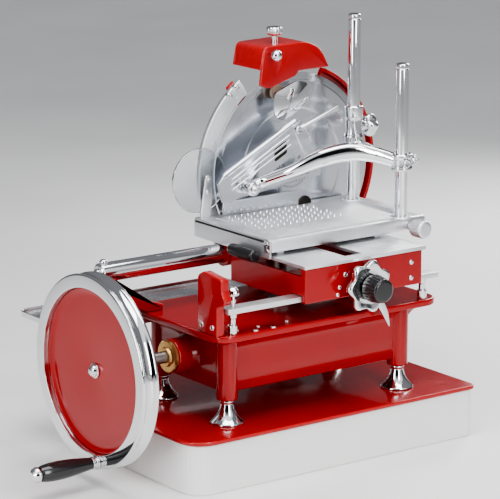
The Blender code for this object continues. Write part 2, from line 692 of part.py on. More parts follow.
def make_cross_shaft():
    body("cross_shaft", "root", (BLADE_X, 0, SHAFT_Z))
    gear = miter_gear((BLADE_X, 0, SHAFT_Z), (0, 1, 0), BLADE_MITER_RADIUS, BLADE_MITER_WIDTH,
                      BLADE_MITER_TEETH, CROSS_RADIUS + GAP)
    piece("cross_gear", gear, "machined_steel", "cross_shaft")
    start = (BLADE_X, BLADE_MITER_RADIUS - 10, SHAFT_Z)
    bar = rod(start, (BLADE_X, SPROCKET_Y + 8, SHAFT_Z), CROSS_RADIUS, 16)
    wheel = sprocket(SPROCKET_RADIUS, SPROCKET_TEETH, SHAFT_Z)
    piece("cross_shaft", join(bar, wheel), "machined_steel", "cross_shaft")


def sprocket(radius, teeth, height):
    made = slab([gear_outline(radius, 3.0, teeth)], SPROCKET_THICK, "XZ", SPROCKET_Y)
    made.data.transform(Matrix.Translation((BLADE_X, 0, height)))
    return made


def make_blade_drive():
    body("blade", "root", (BLADE_X, BLADE_Y, BLADE_Z))
    start = (BLADE_X, BLADE_Y + BLADE_THICK + GAP, BLADE_Z)
    bar = rod(start, (BLADE_X, SPROCKET_Y + 8, BLADE_Z), BLADE_SHAFT_RADIUS, 16)
    hub = rod(start, (BLADE_X, CASE_Y - 1.2, BLADE_Z), 36, 24)
    wheel = sprocket(BLADE_SPROCKET_RADIUS, BLADE_SPROCKET_TEETH, BLADE_Z)
    piece("blade_shaft", join(bar, hub, wheel), "machined_steel", "blade")
    chain_y = SPROCKET_Y + (SPROCKET_THICK - CHAIN_WIDTH) / 2
    reach = CHAIN_CLEAR + CHAIN_THICK
    outer = belt_outline(SPROCKET_RADIUS + reach, BLADE_SPROCKET_RADIUS + reach)
    inner = belt_outline(SPROCKET_RADIUS + CHAIN_CLEAR, BLADE_SPROCKET_RADIUS + CHAIN_CLEAR)
    piece("drive_chain", slab([outer, inner], CHAIN_WIDTH, "XZ", chain_y), "black_oxide", "root")


def belt_outline(low_radius, high_radius, steps=14):
    """The line a belt takes round the two sprockets, in X and Z."""
    span = BLADE_Z - SHAFT_Z
    lean = acos((low_radius - high_radius) / span) * 180 / pi
    lower = arc((BLADE_X, SHAFT_Z), low_radius, 90 + lean, 450 - lean, steps)
    upper = arc((BLADE_X, BLADE_Z), high_radius, 90 - lean, 90 + lean, steps)
    return lower + upper


# ---------------------------------------------------------------- blade and sharpener
def make_blade():
    face = BLADE_Y
    blade = [(0, 1.0), (BLADE_RADIUS * 0.63, 1.0), (BLADE_RADIUS * 0.64, 0)]
    blade += [(BLADE_RADIUS, 0.9), (BLADE_RADIUS, 1.2), (BLADE_RADIUS - 9, BLADE_THICK)]
    blade += [(0, BLADE_THICK)]
    disc = turned(blade, (BLADE_X, face, BLADE_Z), (0, 1, 0), 64)
    piece("blade", disc, "blade_steel", "blade")
    inner = BLADE_RADIUS + RING_GAP
    outer = inner + RING_BAND
    outline = arc((BLADE_X, BLADE_Z), outer, 124, 222, 24) + arc((BLADE_X, BLADE_Z), inner, 222, 124, 24)
    ring = slab([outline], RING_THICK, "XZ", face - 2.5)
    piece("ring_guard", bevelled(ring, 1.2, 1), "aluminium", "root")


def make_housing():
    """The casting behind the blade: chain case, rim and the neck to the body."""
    reach = BLADE_RADIUS + HOUSING_MARGIN
    case_low, case_high = SPROCKET_RADIUS + 16, BLADE_SPROCKET_RADIUS + 20
    case = slab([belt_outline(case_low, case_high, 10)], CASE_DEPTH - 1, "XZ", CASE_Y + 1)
    rim = [(0, 0), (reach - 6, 0), (reach - 6, -12), (reach - 1, -12), (reach, -11), (reach, 7), (0, 7)]
    disc = turned(rim, (BLADE_X, CASE_Y, BLADE_Z), (0, 1, 0), 56)
    fan = [(BLADE_X - BLADE_RADIUS / 7.5, BLADE_Z)] + arc((BLADE_X, BLADE_Z), reach * 1.5, 133, 224, 8)
    room = [(BLADE_X, BLADE_Z)] + arc((BLADE_X, BLADE_Z), reach * 1.5, 66, 140, 8)
    disc = cut(disc, slab([fan], 60, "XZ", CASE_Y - 30), slab([room], 30, "XZ", CASE_Y - 30))
    lugs = []
    for angle in (128.5, 222.0):
        lug = box((reach * 0.35, CASE_Y - 2.2, -9), (BLADE_RADIUS + RING_GAP + RING_BAND, CASE_Y + 5.5, 9))
        turn = Matrix.Rotation(-radians(angle), 4, "Y")
        lug.data.transform(Matrix.Translation((BLADE_X, 0, BLADE_Z)) @ turn)
        lugs.append(lug)
    neck_top = DECK - DECK_EDGE - DECK_OVERHANG + 1
    neck = box((BLADE_X - 42, SIDE_Y + GAP, SHAFT_Z - 36), (BLADE_X + 34, CASE_Y + 3, neck_top))
    made = join(case, disc, *lugs, neck)
    shaft_hole = rod((BLADE_X, 0, SHAFT_Z), (BLADE_X, CASE_Y + 12, SHAFT_Z), CROSS_RADIUS + 1.5, 16)
    blade_hole = rod((BLADE_X, CASE_Y - 20, BLADE_Z), (BLADE_X, CASE_Y + 12, BLADE_Z),
                     BLADE_SHAFT_RADIUS + RUN, 16)
    inside = belt_outline(case_low - CASE_WALL, case_high - CASE_WALL, 10)
    hollow = slab([inside], CASE_DEPTH, "XZ", CASE_Y + 9)
    column = rod((FOOT_X, FOOT_Y, FOOT_TOP - 20), (FOOT_X, FOOT_Y, DECK + 20), COLUMN_RADIUS + 0.8)
    piece("blade_housing", cut(made, hollow, shaft_hole, blade_hole, column), "red_paint", "root")
    cover = slab([belt_outline(case_low, case_high, 10)], 4, "XZ", CASE_Y + CASE_DEPTH + GAP)
    piece("chain_cover", bevelled(cover, 1.2, 1), "red_paint", "root")


def make_sharpener():
    left, right = BLADE_X - 79, BLADE_X + 56
    front, rear = BLADE_Y - 22, BLADE_Y + 52
    top = BLADE_Z + BLADE_RADIUS + 49
    low = BLADE_Z + BLADE_RADIUS - 17

    def outline(inset):
        points = [(left + inset, low + 4), (left + 8 + inset, top - inset), (left + 92, top + 2 - inset)]
        points += [(right - 16 - inset, top - 12 - inset), (right - inset, top - 42)]
        points += [(right - 60, top - 43), (right - 64, low + 14), (left + 20, low - 1)]
        return points

    shell = bevelled(slab([outline(0)], rear - front, "XZ", front), 3.0, 2)
    lowered = [(x, z - (40 if z < top - 30 else 0)) for x, z in outline(4)]
    hollow = slab([lowered], rear - front - 8, "XZ", front + 4)
    ring = rod((BLADE_X, BLADE_Y - 5, BLADE_Z), (BLADE_X, CASE_Y + 12, BLADE_Z),
               BLADE_RADIUS + HOUSING_MARGIN + 3, 72)
    stem_x, stem_y = left + 45, BLADE_Y + 2
    stem_hole = rod((stem_x, stem_y, top - 20), (stem_x, stem_y, top + 20), 5 + RUN, 16)
    rod_z = top - 12
    rod_x = left + 20
    rod_hole = rod((rod_x, front - 20, rod_z), (rod_x, front + 12, rod_z), 4 + RUN, 16)
    shell = cut(shell, hollow, ring, stem_hole, rod_hole)
    piece("sharpener_housing", shell, "red_paint", "root")
    stone_radius = 17
    blade_edge = BLADE_Z + sqrt(BLADE_RADIUS ** 2 - (stem_x - BLADE_X) ** 2)
    stone_z = blade_edge + 9 + stone_radius
    body("grinder", "root", (stem_x, stem_y, stone_z))
    stone = rod((stem_x, stem_y - 6, stone_z), (stem_x, stem_y + 6, stone_z), stone_radius, 18)
    piece("grinding_stone", stone, "grey_stone", "grinder")
    rise = top - stone_z
    knob = [(0, rise + 32), (6, rise + 32), (11.5, rise + 28), (12, rise + 24), (10, rise + 21)]
    knob += [(5, rise + 17), (5, stone_radius + GAP), (0, stone_radius + GAP)]
    piece("grinding_knob", turned(knob, (stem_x, stem_y, stone_z), (0, 0, 1), 16), "chrome", "grinder")
    body("honer", "root", (rod_x, front, rod_z))
    ball = [(0, 24), (5, 23), (8.5, 19), (9, 15), (7, 10), (4, 8), (4, -9), (0, -9)]
    piece("honing_knob", turned(ball, (rod_x, front, rod_z), (0, -1, 0), 16), "chrome", "honer")
    hone_x, hone_z = rod_x + 22, BLADE_Z + BLADE_RADIUS - 26
    arm_y = front + 9 + GAP
    outline = [(hone_x - 6, hone_z), (hone_x + 6, hone_z), (rod_x + 7, rod_z + 6), (rod_x - 7, rod_z + 6)]
    bar = slab([outline], 3, "XZ", arm_y)
    stone = rod((hone_x, arm_y, hone_z), (hone_x, arm_y + 6, hone_z), 12, 16)
    piece("honing_stone", join(bar, stone), "grey_stone", "honer")
    cover = [(left + 25, low - 8), (right - 66, low + 9), (right - 46, low + 4)]
    cover += [(right - 44, low - 24), (right - 72, low - 44), (left + 38, low - 52), (left + 26, low - 42)]
    plate = bevelled(slab([cover], 3, "XZ", front - 3 - GAP), 0.8, 1)
    piece("stone_cover", plate, "blade_steel", "root")


# ---------------------------------------------------------------- carriage
def make_carriage():
    body("carriage", "root", (0, TUBE_Y, TUBE_Z))
    wall = CARRIAGE_WALL
    outer = box((CARRIAGE_LEFT, BOX_FRONT, BOX_BOTTOM), (BOX_RIGHT, BOX_REAR, BOX_TOP), 2.0, 2)
    sleeve = rod((CARRIAGE_LEFT - 2, TUBE_Y, TUBE_Z), (BOX_RIGHT + 0.5, TUBE_Y, TUBE_Z),
                 TUBE_RADIUS + 5.75, 18)
    web = box((CARRIAGE_LEFT + 1, BOX_REAR - 4, TUBE_Z - 14), (BOX_RIGHT - 1, TUBE_Y, BOX_TOP - 1))
    beyond_left, beyond_right = CARRIAGE_LEFT - 30, BOX_RIGHT + 30
    hollow = box((CARRIAGE_LEFT + wall, BOX_FRONT + wall, BOX_BOTTOM - 20),
                 (BOX_RIGHT - wall, BOX_REAR - wall, BOX_TOP + 20))
    bore = rod((beyond_left, TUBE_Y, TUBE_Z), (beyond_right, TUBE_Y, TUBE_Z), TUBE_RADIUS + RUN, 24)
    notch = box((beyond_left, RAIL_FRONT - 1.5, BOX_BOTTOM - 20),
                (beyond_right, RAIL_FRONT + RAIL_WIDTH + 1.5, RAIL_Z + RAIL_THICK + 1.5))
    slot = box((beyond_left, BOX_FRONT + 10, BOX_TOP - 13),
               (CARRIAGE_LEFT + wall + 5, BOX_REAR - 12, BOX_TOP + 20))
    screw_hole = rod((FEED_X, BOX_FRONT - 20, FEED_Z), (FEED_X, BOX_FRONT + 20, FEED_Z),
                     SCREW_RADIUS + RUN, 16)
    made = cut(join(outer, sleeve, web), hollow, bore, notch, slot, screw_hole)
    roller_x = FEED_X + 58
    roller_z = RAIL_Z + RAIL_THICK + ROLLER_RADIUS + GAP
    pin = rod((roller_x, BOX_FRONT + 2, roller_z), (roller_x, RAIL_MIDDLE + 14, roller_z),
              ROLLER_PIN_RADIUS, 16)
    piece("carriage_body", join(made, pin), "red_paint", "carriage")
    make_roller(roller_x, roller_z)
    make_carriage_plate()
    make_yoke()


def make_roller(x, z):
    body("roller", "carriage", (x, RAIL_MIDDLE, z))
    bore = ROLLER_PIN_RADIUS + RUN
    tyre = [(bore, 8), (ROLLER_RADIUS - 1, 8), (ROLLER_RADIUS, 7), (ROLLER_RADIUS, -7)]
    tyre += [(ROLLER_RADIUS - 1, -8), (bore, -8)]
    roller = turned(tyre, (x, RAIL_MIDDLE, z), (0, 1, 0), 20)
    piece("carriage_roller", roller, "bronze", "roller")


def make_carriage_plate():
    """The flat top, with a slot for the nut that hangs from the table."""
    lug = nut_lug()
    outer = rounded((CARRIAGE_LEFT - 4, BOX_FRONT - 4), (BOX_RIGHT + 4, BOX_REAR), [3] * 4, 2)
    left, right = lug[0] - 2, lug[1] + 2
    front, rear = lug[2] - FEED_TRAVEL - 2, lug[3] + 2
    slot = [(left, front), (right, front), (right, rear), (left, rear)]
    plate = slab([outer, slot], TOP_THICK, "XY", BOX_TOP + GAP)
    piece("carriage_plate", bevelled(plate, 0.8, 1), "aluminium", "carriage")


def make_yoke():
    """The slotted bar under the carriage that the crank pin slides across."""
    half = CRANK_PIN_RADIUS + RUN + 0.2
    slot_y = CRANK_RADIUS + 8
    outer = rounded((CRANK_REST - 26, -slot_y - 7), (CRANK_REST + 18, slot_y + 7), [5] * 4, 2)
    slot = rounded((CRANK_REST - half, -slot_y), (CRANK_REST + half, slot_y), [half - 1] * 4, 3)
    yoke = slab([outer, slot], 6, "XY", YOKE_Z)
    x = CRANK_REST - 19
    hangers = [rod((x, y, YOKE_Z + 3), (x, y, BOX_TOP), 5) for y in (BOX_FRONT + 62, BOX_REAR - 14)]
    piece("drive_yoke", join(yoke, *hangers), "machined_steel", "carriage")


def nut_lug():
    """Low x, high x, low y and high y of the table's feed nut."""
    rear = BOX_REAR - CARRIAGE_WALL - 5
    return FEED_X - 12, FEED_X + 12, rear - 12, rear


def make_feed():
    face = BOX_FRONT
    body("feed_screw", "carriage", (FEED_X, face, FEED_Z))
    end = (FEED_X, BOX_REAR - CARRIAGE_WALL - 1, FEED_Z)
    bar = rod((FEED_X, face - 50, FEED_Z), end, SCREW_RADIUS, 16)
    collar = rod((FEED_X, face - GAP, FEED_Z), (FEED_X, face - 5, FEED_Z), SCREW_RADIUS + 6, 16)
    piece("feed_screw", join(bar, collar), "machined_steel", "feed_screw")
    wheel = slab([lobed(HANDWHEEL_RADIUS, 7, 8, 0.09)], 12, "XZ", face - 27)
    wheel.data.transform(Matrix.Translation((FEED_X, 0, FEED_Z)))
    wheel = bevelled(wheel, 2.5, 1)
    hub = rod((FEED_X, face - 17, FEED_Z), (FEED_X, face - 11.5, FEED_Z), 15, 16)
    bore = rod((FEED_X, face - 60, FEED_Z), (FEED_X, face + 5, FEED_Z), SCREW_RADIUS + GAP, 16)
    piece("feed_handwheel", cut(join(wheel, hub), bore), "chrome", "feed_screw")
    depth = 31
    socket = SCREW_RADIUS + GAP
    knob = [(0, depth), (KNOB_RADIUS * 0.72, depth), (KNOB_RADIUS * 0.86, depth - 3), (KNOB_RADIUS, 8)]
    knob += [(KNOB_RADIUS, 3), (KNOB_RADIUS - 3, 0), (socket, 0), (socket, 24), (0, 24)]
    made = turned(knob, (FEED_X, face - 27 - GAP, FEED_Z), (0, -1, 0), 12)
    piece("feed_knob", made, "black_plastic", "feed_screw")
    body("feed_lever", "carriage", (FEED_X, face - 8, FEED_Z))
    blade = [(9, -14), (34, -46), (47, -69), (49, -71), (50, -68), (46, -44), (22, -4)]
    lever = slab([[(FEED_X + x, FEED_Z + z) for x, z in blade]], 4, "XZ", face - 10.5)
    ring = rod((FEED_X, face - 10.5, FEED_Z), (FEED_X, face - 6.5, FEED_Z), 19, 18)
    hole = rod((FEED_X, face - 30, FEED_Z), (FEED_X, face + 5, FEED_Z), SCREW_RADIUS + 1.0, 16)
    piece("feed_lever", cut(join(bevelled(lever, 0.8, 1), ring), hole), "chrome", "feed_lever")


# ---------------------------------------------------------------- table and clamp
def make_table():
    body("table", "carriage", (FEED_X, TABLE_REAR, TABLE_Z))
    bed = box((TABLE_LEFT, TABLE_FRONT, TABLE_Z), (TABLE_RIGHT, TABLE_REAR, TABLE_TOP), 1.5, 1)
    skirt_foot = max(TABLE_Z - 8, TUBE_Z + TUBE_RADIUS + 1)
    skirt = box((TABLE_LEFT - SKIRT_THICK, TABLE_FRONT + 2, skirt_foot),
                (TABLE_LEFT + 1.5, TABLE_REAR - 2, TABLE_TOP - 1), 0.8, 1)
    runners = [box((x, TABLE_FRONT + 12, TOP_PLATE + GAP), (x + 12, BOX_REAR - 8, TABLE_Z + 2))
               for x in (CARRIAGE_LEFT + 12, BOX_RIGHT - 24)]
    boss = rod((REAR_POST[0], REAR_POST_Y, TABLE_Z - 0.6), (REAR_POST[0], REAR_POST_Y, TABLE_TOP + 1),
               POST_RADIUS + 7, 18)
    kerb = box((TABLE_RIGHT - 9, TABLE_FRONT + 45, TABLE_TOP - 2),
               (TABLE_RIGHT - 0.6, REAR_POST_Y - 16, TABLE_TOP + 5), 1.0, 1)
    lug = nut_lug()
    nut = box((lug[0], lug[2], FEED_Z - 12), (lug[1], lug[3], TABLE_Z + 3))
    start, end = (FEED_X, lug[2] - 20, FEED_Z), (FEED_X, lug[3] + 20, FEED_Z)
    thread = rod(start, end, SCREW_RADIUS + RUN, 16)
    sockets = [rod((x, y, TABLE_TOP - SOCKET_DEPTH), (x, y, TABLE_TOP + 10), POST_RADIUS + GAP, 18)
               for x, y in ((REAR_POST[0], REAR_POST_Y), (FRONT_POST[0], FRONT_POST_Y))]
    made = cut(join(bed, skirt, *runners, boss, kerb, nut), thread, *sockets)
    piece("meat_table", made, "aluminium", "table")
    for name, x, y, length in (("rear_post", REAR_POST[0], REAR_POST_Y, REAR_POST_LENGTH),
                               ("front_post", FRONT_POST[0], FRONT_POST_Y, FRONT_POST_LENGTH)):
        profile = [(0, length), (POST_RADIUS - 1.5, length), (POST_RADIUS, length - 1.5)]
        profile += [(POST_RADIUS, GAP - SOCKET_DEPTH), (0, GAP - SOCKET_DEPTH)]
        piece(name, turned(profile, (x, y, TABLE_TOP), (0, 0, 1), 20), "chrome", "table")
    comb_top = TABLE_TOP + 24
    teeth = 18
    low_x, high_x = TABLE_LEFT + 42, TABLE_LEFT + 186
    pitch = (high_x - low_x) / teeth
    outline = [(high_x, TABLE_TOP + GAP), (low_x, TABLE_TOP + GAP)]
    for k in range(teeth):
        outline += [(low_x + k * pitch, comb_top - 4), (low_x + (k + 0.5) * pitch, comb_top)]
    outline.append((high_x, comb_top - 4))
    piece("table_comb", slab([outline[::-1]], 3, "XZ", TABLE_REAR - 18), "blade_steel", "table")
    make_table_knobs()
    make_hand_guard()


def make_table_knobs():
    """The lock knob at the table's right front corner and the black grip on its left end."""
    foot = (TABLE_RIGHT - 16, TABLE_FRONT, TABLE_Z + 8)
    body("table_knob", "table", foot)
    wide = TABLE_KNOB_RADIUS
    knob = [(0, 36), (wide - 1.5, 36), (wide, 34.5), (wide, 12), (wide - 1.5, 10.5), (wide / 2, 10)]
    knob += [(wide / 2, GAP), (0, GAP)]
    piece("table_knob", turned(knob, foot, (0, -1, 0), 18), "aluminium", "table_knob")
    grip_z = TABLE_Z - 5
    side = TABLE_LEFT - SKIRT_THICK - GAP
    grip = [(0, 62), (8.5, 62), (10, 60), (10.5, 30), (9, 2), (7.5, GAP), (0, GAP)]
    stem = box((side - 4, TABLE_FRONT + 60, grip_z - 3), (side, TABLE_FRONT + 74, grip_z + 5))
    handle = turned(grip, (side - 11, TABLE_FRONT + 85, grip_z), (0, -1, 0), 16)
    piece("table_grip", join(handle, stem), "black_plastic", "table")


def make_hand_guard():
    x, z, radius = BLADE_X - BLADE_RADIUS - 34, TABLE_TOP + 58, 50
    y = TABLE_REAR - 5
    disc = rod((x, y, z), (x, y + 2.5, z), radius, 48)
    piece("hand_guard", disc, "clear_plastic", "table")
    outline = [(TABLE_LEFT + 24, TABLE_TOP + GAP), (x + 20, z + 8), (x + 8, z + 8)]
    outline += [(TABLE_LEFT + 6, TABLE_TOP + GAP)]
    bracket = slab([outline], 4, "XZ", y - 4 - GAP)
    piece("hand_guard_bracket", bevelled(bracket, 0.8, 1), "aluminium", "table")


def make_clamp():
    body("clamp", "table", (REAR_POST[0], REAR_POST_Y, CLAMP_Z))
    front = (FRONT_POST[0], FRONT_POST_Y)
    rear = (REAR_POST[0], REAR_POST_Y)
    collar = rod((*front, CLAMP_Z), (*front, CLAMP_Z + 26), POST_RADIUS + COLLAR_WALL, 18)
    carrier = rod((*rear, CLAMP_Z), (*rear, CLAMP_Z + 78), POST_RADIUS + COLLAR_WALL - 1, 18)
    halfway = (front[0] + 6, (front[1] + rear[1]) / 2, CLAMP_Z + 15)
    bridge = sweep([(*front, CLAMP_Z + 13), halfway, (*rear, CLAMP_Z + 15)], 6.5)
    pivot = (12, BLADE_Y - 56, TABLE_TOP + 46)
    arm = sweep([(front[0] - 8, front[1], CLAMP_Z + 13), (front[0] - 55, front[1] + 26, CLAMP_Z + 30),
                 (front[0] - 98, front[1] + 55, CLAMP_Z + 38), (front[0] - 140, front[1] + 92, CLAMP_Z + 8),
                 (pivot[0] + 20, pivot[1] - 4, pivot[2] + 12), pivot], 9.0)
    boss = rod((pivot[0], pivot[1] - 10, pivot[2]), (pivot[0], pivot[1] + 9.6, pivot[2]), 11, 16)
    screw_z = CLAMP_Z + 44
    nose = rod((rear[0] + 8, rear[1], screw_z), (rear[0] + 22, rear[1], screw_z), 9, 16)
    made = join(collar, carrier, bridge, arm, boss, nose)
    posts = [rod((*front, CLAMP_Z - 20), (*front, CLAMP_Z + 60), POST_RADIUS + RUN, 28),
             rod((*rear, CLAMP_Z - 20), (*rear, CLAMP_Z + 120), POST_RADIUS + RUN, 28)]
    start, end = (rear[0] + 6, rear[1], screw_z), (rear[0] + 40, rear[1], screw_z)
    screw_hole = rod(start, end, CLAMP_SCREW_RADIUS + RUN, 16)
    piece("clamp_arm", cut(made, *posts, screw_hole), "aluminium", "clamp")
    body("clamp_knob", "clamp", (rear[0], rear[1], screw_z))
    outline = [(rear[1] + y, screw_z + z) for y, z in lobed(CLAMP_KNOB_RADIUS, 5, 6, 0.12)]
    knob = bevelled(slab([outline], 15, "YZ", rear[0] + 22 + GAP), 3.0, 1)
    start, end = (rear[0] + POST_RADIUS + 1, rear[1], screw_z), (rear[0] + 26, rear[1], screw_z)
    stem = rod(start, end, CLAMP_SCREW_RADIUS, 16)
    piece("clamp_knob", join(knob, stem), "chrome", "clamp_knob")
    make_presser(pivot, screw_z)


def make_presser(pivot, screw_z):
    """The slanted pressing plate, its toothed lower edge and the stay rod."""
    y = pivot[1] + 10 + RUN
    body("presser", "clamp", pivot)
    foot = (pivot[0] - 26, pivot[2] - 22)
    run, rise = 150.0, 78.0
    length = hypot(run, rise)
    along = (run / length, rise / length)
    across = (-along[1], along[0])
    teeth = 15

    def spot(a, b):
        return foot[0] + along[0] * a + across[0] * b, foot[1] + along[1] * a + across[1] * b

    outline = [spot(-10, 42), spot(-16, 12), spot(0, 4)]
    for k in range(teeth):
        outline += [spot((k + 0.5) * length / teeth, 0), spot((k + 1) * length / teeth, 4)]
    outline += [spot(length, 40), spot(length - 8, 48), spot(4, 48)]
    plate = slab([outline], 5, "XZ", y)
    edge = [spot(a, 46) for a in (2, length / 2, length - 6)]
    lip = sweep([(x, y + 2.5, z) for x, z in edge], 4.5)
    strip = [spot(4, 3), spot(length - 2, 3), spot(length - 2, 11), spot(4, 11)]
    face = slab([strip], 14, "XZ", y + 4)
    piece("presser_plate", join(plate, lip, face), "blade_steel", "presser")
    start = spot(length - 14, 34)
    end = (REAR_POST[0] - POST_RADIUS - 24, screw_z + 36)
    stay_y = y - 3 - GAP
    stay = rod((start[0], stay_y, start[1]), (end[0], stay_y, end[1]), 3, 16)
    eye = rod((start[0], y - 7, start[1]), (start[0], y - GAP, start[1]), 6, 16)
    piece("link_rod", join(stay, eye), "chrome", "presser")


# ---------------------------------------------------------------- receiving tray
def make_tray():
    left, right = -DECK_X - TUBE_LEFT - 32, BLADE_X - SPROCKET_RADIUS - 30
    front, rear = SIDE_Y + 9, SIDE_Y + 168
    height = DECK - 20
    thick = 2.0
    body("tray", "root", (left, front, height))
    corner, near_corner = 20.0, 4.0
    radii = [corner, corner, corner, near_corner]
    edge = rounded((left, front), (right, rear), radii, 4)
    inside = rounded((left + thick, front + thick), (right - thick, rear - thick),
                     [radius - thick for radius in radii], 4)
    floor = slab([edge], thick, "XY", height - 6)
    ring = slab([edge, inside], 8, "XY", height - 6)
    tab_x = -END_X / 2
    pad = box((tab_x - 45, SIDE_Y + GAP, height - 40), (tab_x + 45, SIDE_Y + 5, height - 18))
    tab = box((tab_x - 40, SIDE_Y + 2.6, height - 20), (tab_x + 40, SIDE_Y + 4.6, height - 5.5))
    shelf = box((tab_x - 35, SIDE_Y + 2.6, height - 7), (tab_x + 35, front + 6, height - 4.8))
    piece("receiving_tray", join(floor, ring, shelf, tab, pad), "tray_steel", "tray")


def main():
    clear_scene()
    body("root", None, (0, 0, 0))
    make_base()
    make_body()
    make_brackets()
    make_slide_tube()
    make_front_rail()
    make_flywheel()
    make_drive()
    make_blade()
    make_housing()
    make_sharpener()
    make_carriage()
    make_feed()
    make_table()
    make_clamp()
    make_tray()
    assemble(collection("meat_slicer"))


main()
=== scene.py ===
# %% [markdown]
# # A hand-driven flywheel meat slicer
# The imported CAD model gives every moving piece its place. This notebook dresses it: each
# visible piece is worked out again as a smooth numpy surface, and each finish is a small
# node material. Sizes are in millimetres until the last step, as in a workshop drawing.

import json
import bmesh
import bpy
import numpy as np
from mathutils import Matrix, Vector


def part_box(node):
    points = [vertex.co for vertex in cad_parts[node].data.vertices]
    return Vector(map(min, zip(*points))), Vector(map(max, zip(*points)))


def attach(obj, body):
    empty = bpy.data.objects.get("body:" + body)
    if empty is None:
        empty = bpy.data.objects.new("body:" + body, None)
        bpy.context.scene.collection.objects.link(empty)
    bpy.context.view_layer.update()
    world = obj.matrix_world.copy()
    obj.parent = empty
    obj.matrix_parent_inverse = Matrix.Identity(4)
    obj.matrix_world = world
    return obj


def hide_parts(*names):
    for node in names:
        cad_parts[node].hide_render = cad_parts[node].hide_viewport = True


MM = 0.001
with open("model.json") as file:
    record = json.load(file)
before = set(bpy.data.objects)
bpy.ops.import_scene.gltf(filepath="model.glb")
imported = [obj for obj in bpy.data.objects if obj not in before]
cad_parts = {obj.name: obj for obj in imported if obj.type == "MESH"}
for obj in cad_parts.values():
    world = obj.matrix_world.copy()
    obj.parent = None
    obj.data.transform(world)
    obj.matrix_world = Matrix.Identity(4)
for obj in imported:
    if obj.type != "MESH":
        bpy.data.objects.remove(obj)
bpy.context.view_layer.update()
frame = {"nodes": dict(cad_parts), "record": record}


def span(node):
    """Lowest and highest corner of a CAD node, in millimetres."""
    return [np.array(corner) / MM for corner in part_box(node)]


# %% [markdown]
# ## Shapes as arrays
# A shape is a tuple: points, quads, many-sided end faces and a wear-and-sheen value for each
# point, which marks edges for rub wear and for a painted edge highlight.
# Everything below is one of four moves: round a corner, stack rings, spin a profile, or
# carry a section along a path. They are enough for castings, turned parts and bent rods.

# %% Corner rounding and smooth curves
def fillet(points, radius, closed=True, steps=5):
    """Rounds the corners of a line: each cut starts one radius before a corner and ends one
    radius after it, and the point at share s is (1-s)^2 a + 2s(1-s) corner + s^2 b."""
    p = np.asarray(points, float)
    reach = np.broadcast_to(np.asarray(radius, float), (len(p),))[:, None]

    def toward(other):
        step = other - p
        length = np.maximum(np.linalg.norm(step, axis=1, keepdims=True), 1e-9)
        return (p + step * np.minimum(reach / length, 0.49))[:, None]

    s = np.linspace(0, 1, steps + 1)[None, :, None]
    a, b = toward(np.roll(p, 1, 0)), toward(np.roll(p, -1, 0))
    curve = (1 - s) ** 2 * a + 2 * s * (1 - s) * p[:, None] + s**2 * b
    if not closed:
        curve[0], curve[-1] = p[0], p[-1]
    line = curve.reshape(-1, p.shape[1])
    apart = np.linalg.norm(line - np.roll(line, 1, 0), axis=1) > 1e-4
    apart[0] = apart[0] or not closed
    return line[apart]


def through(points, count):
    """A smooth line through the points: each stretch is the Catmull-Rom cubic of four
    neighbours, read at count evenly spaced shares of the whole line."""
    p = np.asarray(points, float)
    p = np.vstack([2 * p[0] - p[1], p, 2 * p[-1] - p[-2]])
    t = np.linspace(0, len(p) - 3 - 1e-9, count)
    k = t.astype(int)
    s = (t - k)[:, None]
    a, b, c, d = p[k], p[k + 1], p[k + 2], p[k + 3]
    return 0.5 * (2 * b + (c - a) * s + (2 * a - 5 * b + 4 * c - d) * s**2 + (3 * b - a - 3 * c + d) * s**3)


def arc(centre, radius, start, stop, count):
    """Points at one radius from a centre, from one angle in degrees to another."""
    a = np.radians(np.linspace(start, stop, count))
    return np.asarray(centre, float) + radius * np.stack([np.cos(a), np.sin(a)], 1)


print("rounded square has", len(fillet([(0, 0), (1, 0), (1, 1), (0, 1)], 0.2)), "points")

# %% Rings, slabs, turned pieces and swept bars
PLANES = {"XY": [0, 1, 2], "XZ": [0, 2, 1], "YZ": [1, 2, 0]}


def stacked(rings, wear_sheen=None):
    """A closed shell: quad (i, j) joins points j and j+1 of ring i to those of ring i+1,
    and one flat face closes each end."""
    rings = np.asarray(rings, float)
    n, m = rings.shape[:2]
    first = np.arange(n - 1)[:, None] * m
    here, after = np.arange(m)[None], (np.arange(m)[None] + 1) % m
    quads = np.stack([first + here, first + after, first + m + after, first + m + here], -1)
    ends = [np.arange(m)[::-1].tolist(), (np.arange(m) + (n - 1) * m).tolist()]
    wear_sheen_values = np.zeros(n * m) if wear_sheen is None else np.repeat(wear_sheen, m)
    return rings.reshape(-1, 3), quads.reshape(-1, 4), ends, wear_sheen_values


def inset(outline, amount):
    """Moves each point of a closed line inwards along its own normal, which is the chord of
    its two neighbours turned a quarter."""
    p = np.asarray(outline, float)
    chord = np.roll(p, -1, 0) - np.roll(p, 1, 0)
    normal = np.stack([chord[:, 1], -chord[:, 0]], 1)
    normal /= np.maximum(np.linalg.norm(normal, axis=1, keepdims=True), 1e-9)
    x, y = p.T
    turn = np.sign(np.sum(x * np.roll(y, -1) - y * np.roll(x, -1)))
    return p - normal * amount * turn


def slab(outline, low, high, edge=1.5, plane="XY", steps=4):
    """A plate with rolled edges: at angle a of the roll the outline is drawn in by
    edge (1 - sin a) and stands edge (1 - cos a) inside the face."""
    a = np.linspace(0, np.pi / 2, steps + 1)
    draw, rise = edge * (1 - np.sin(a)), edge * (1 - np.cos(a))
    draws = np.concatenate([draw, draw[::-1]])
    depths = np.concatenate([low + rise, (high - rise)[::-1]])
    # The rolled edge rings get 1 and the two faces 0, so every finish lightens these edges, partly as rub
    # wear and partly as a painted edge highlight.
    edge_wear_sheen = np.concatenate([[0.0], np.ones(steps), np.ones(steps), [0.0]])
    rings = [np.column_stack([inset(outline, d), np.full(len(outline), z)]) for d, z in zip(draws, depths)]
    order = np.argsort(PLANES[plane])
    return stacked(np.asarray(rings)[:, :, order], edge_wear_sheen)


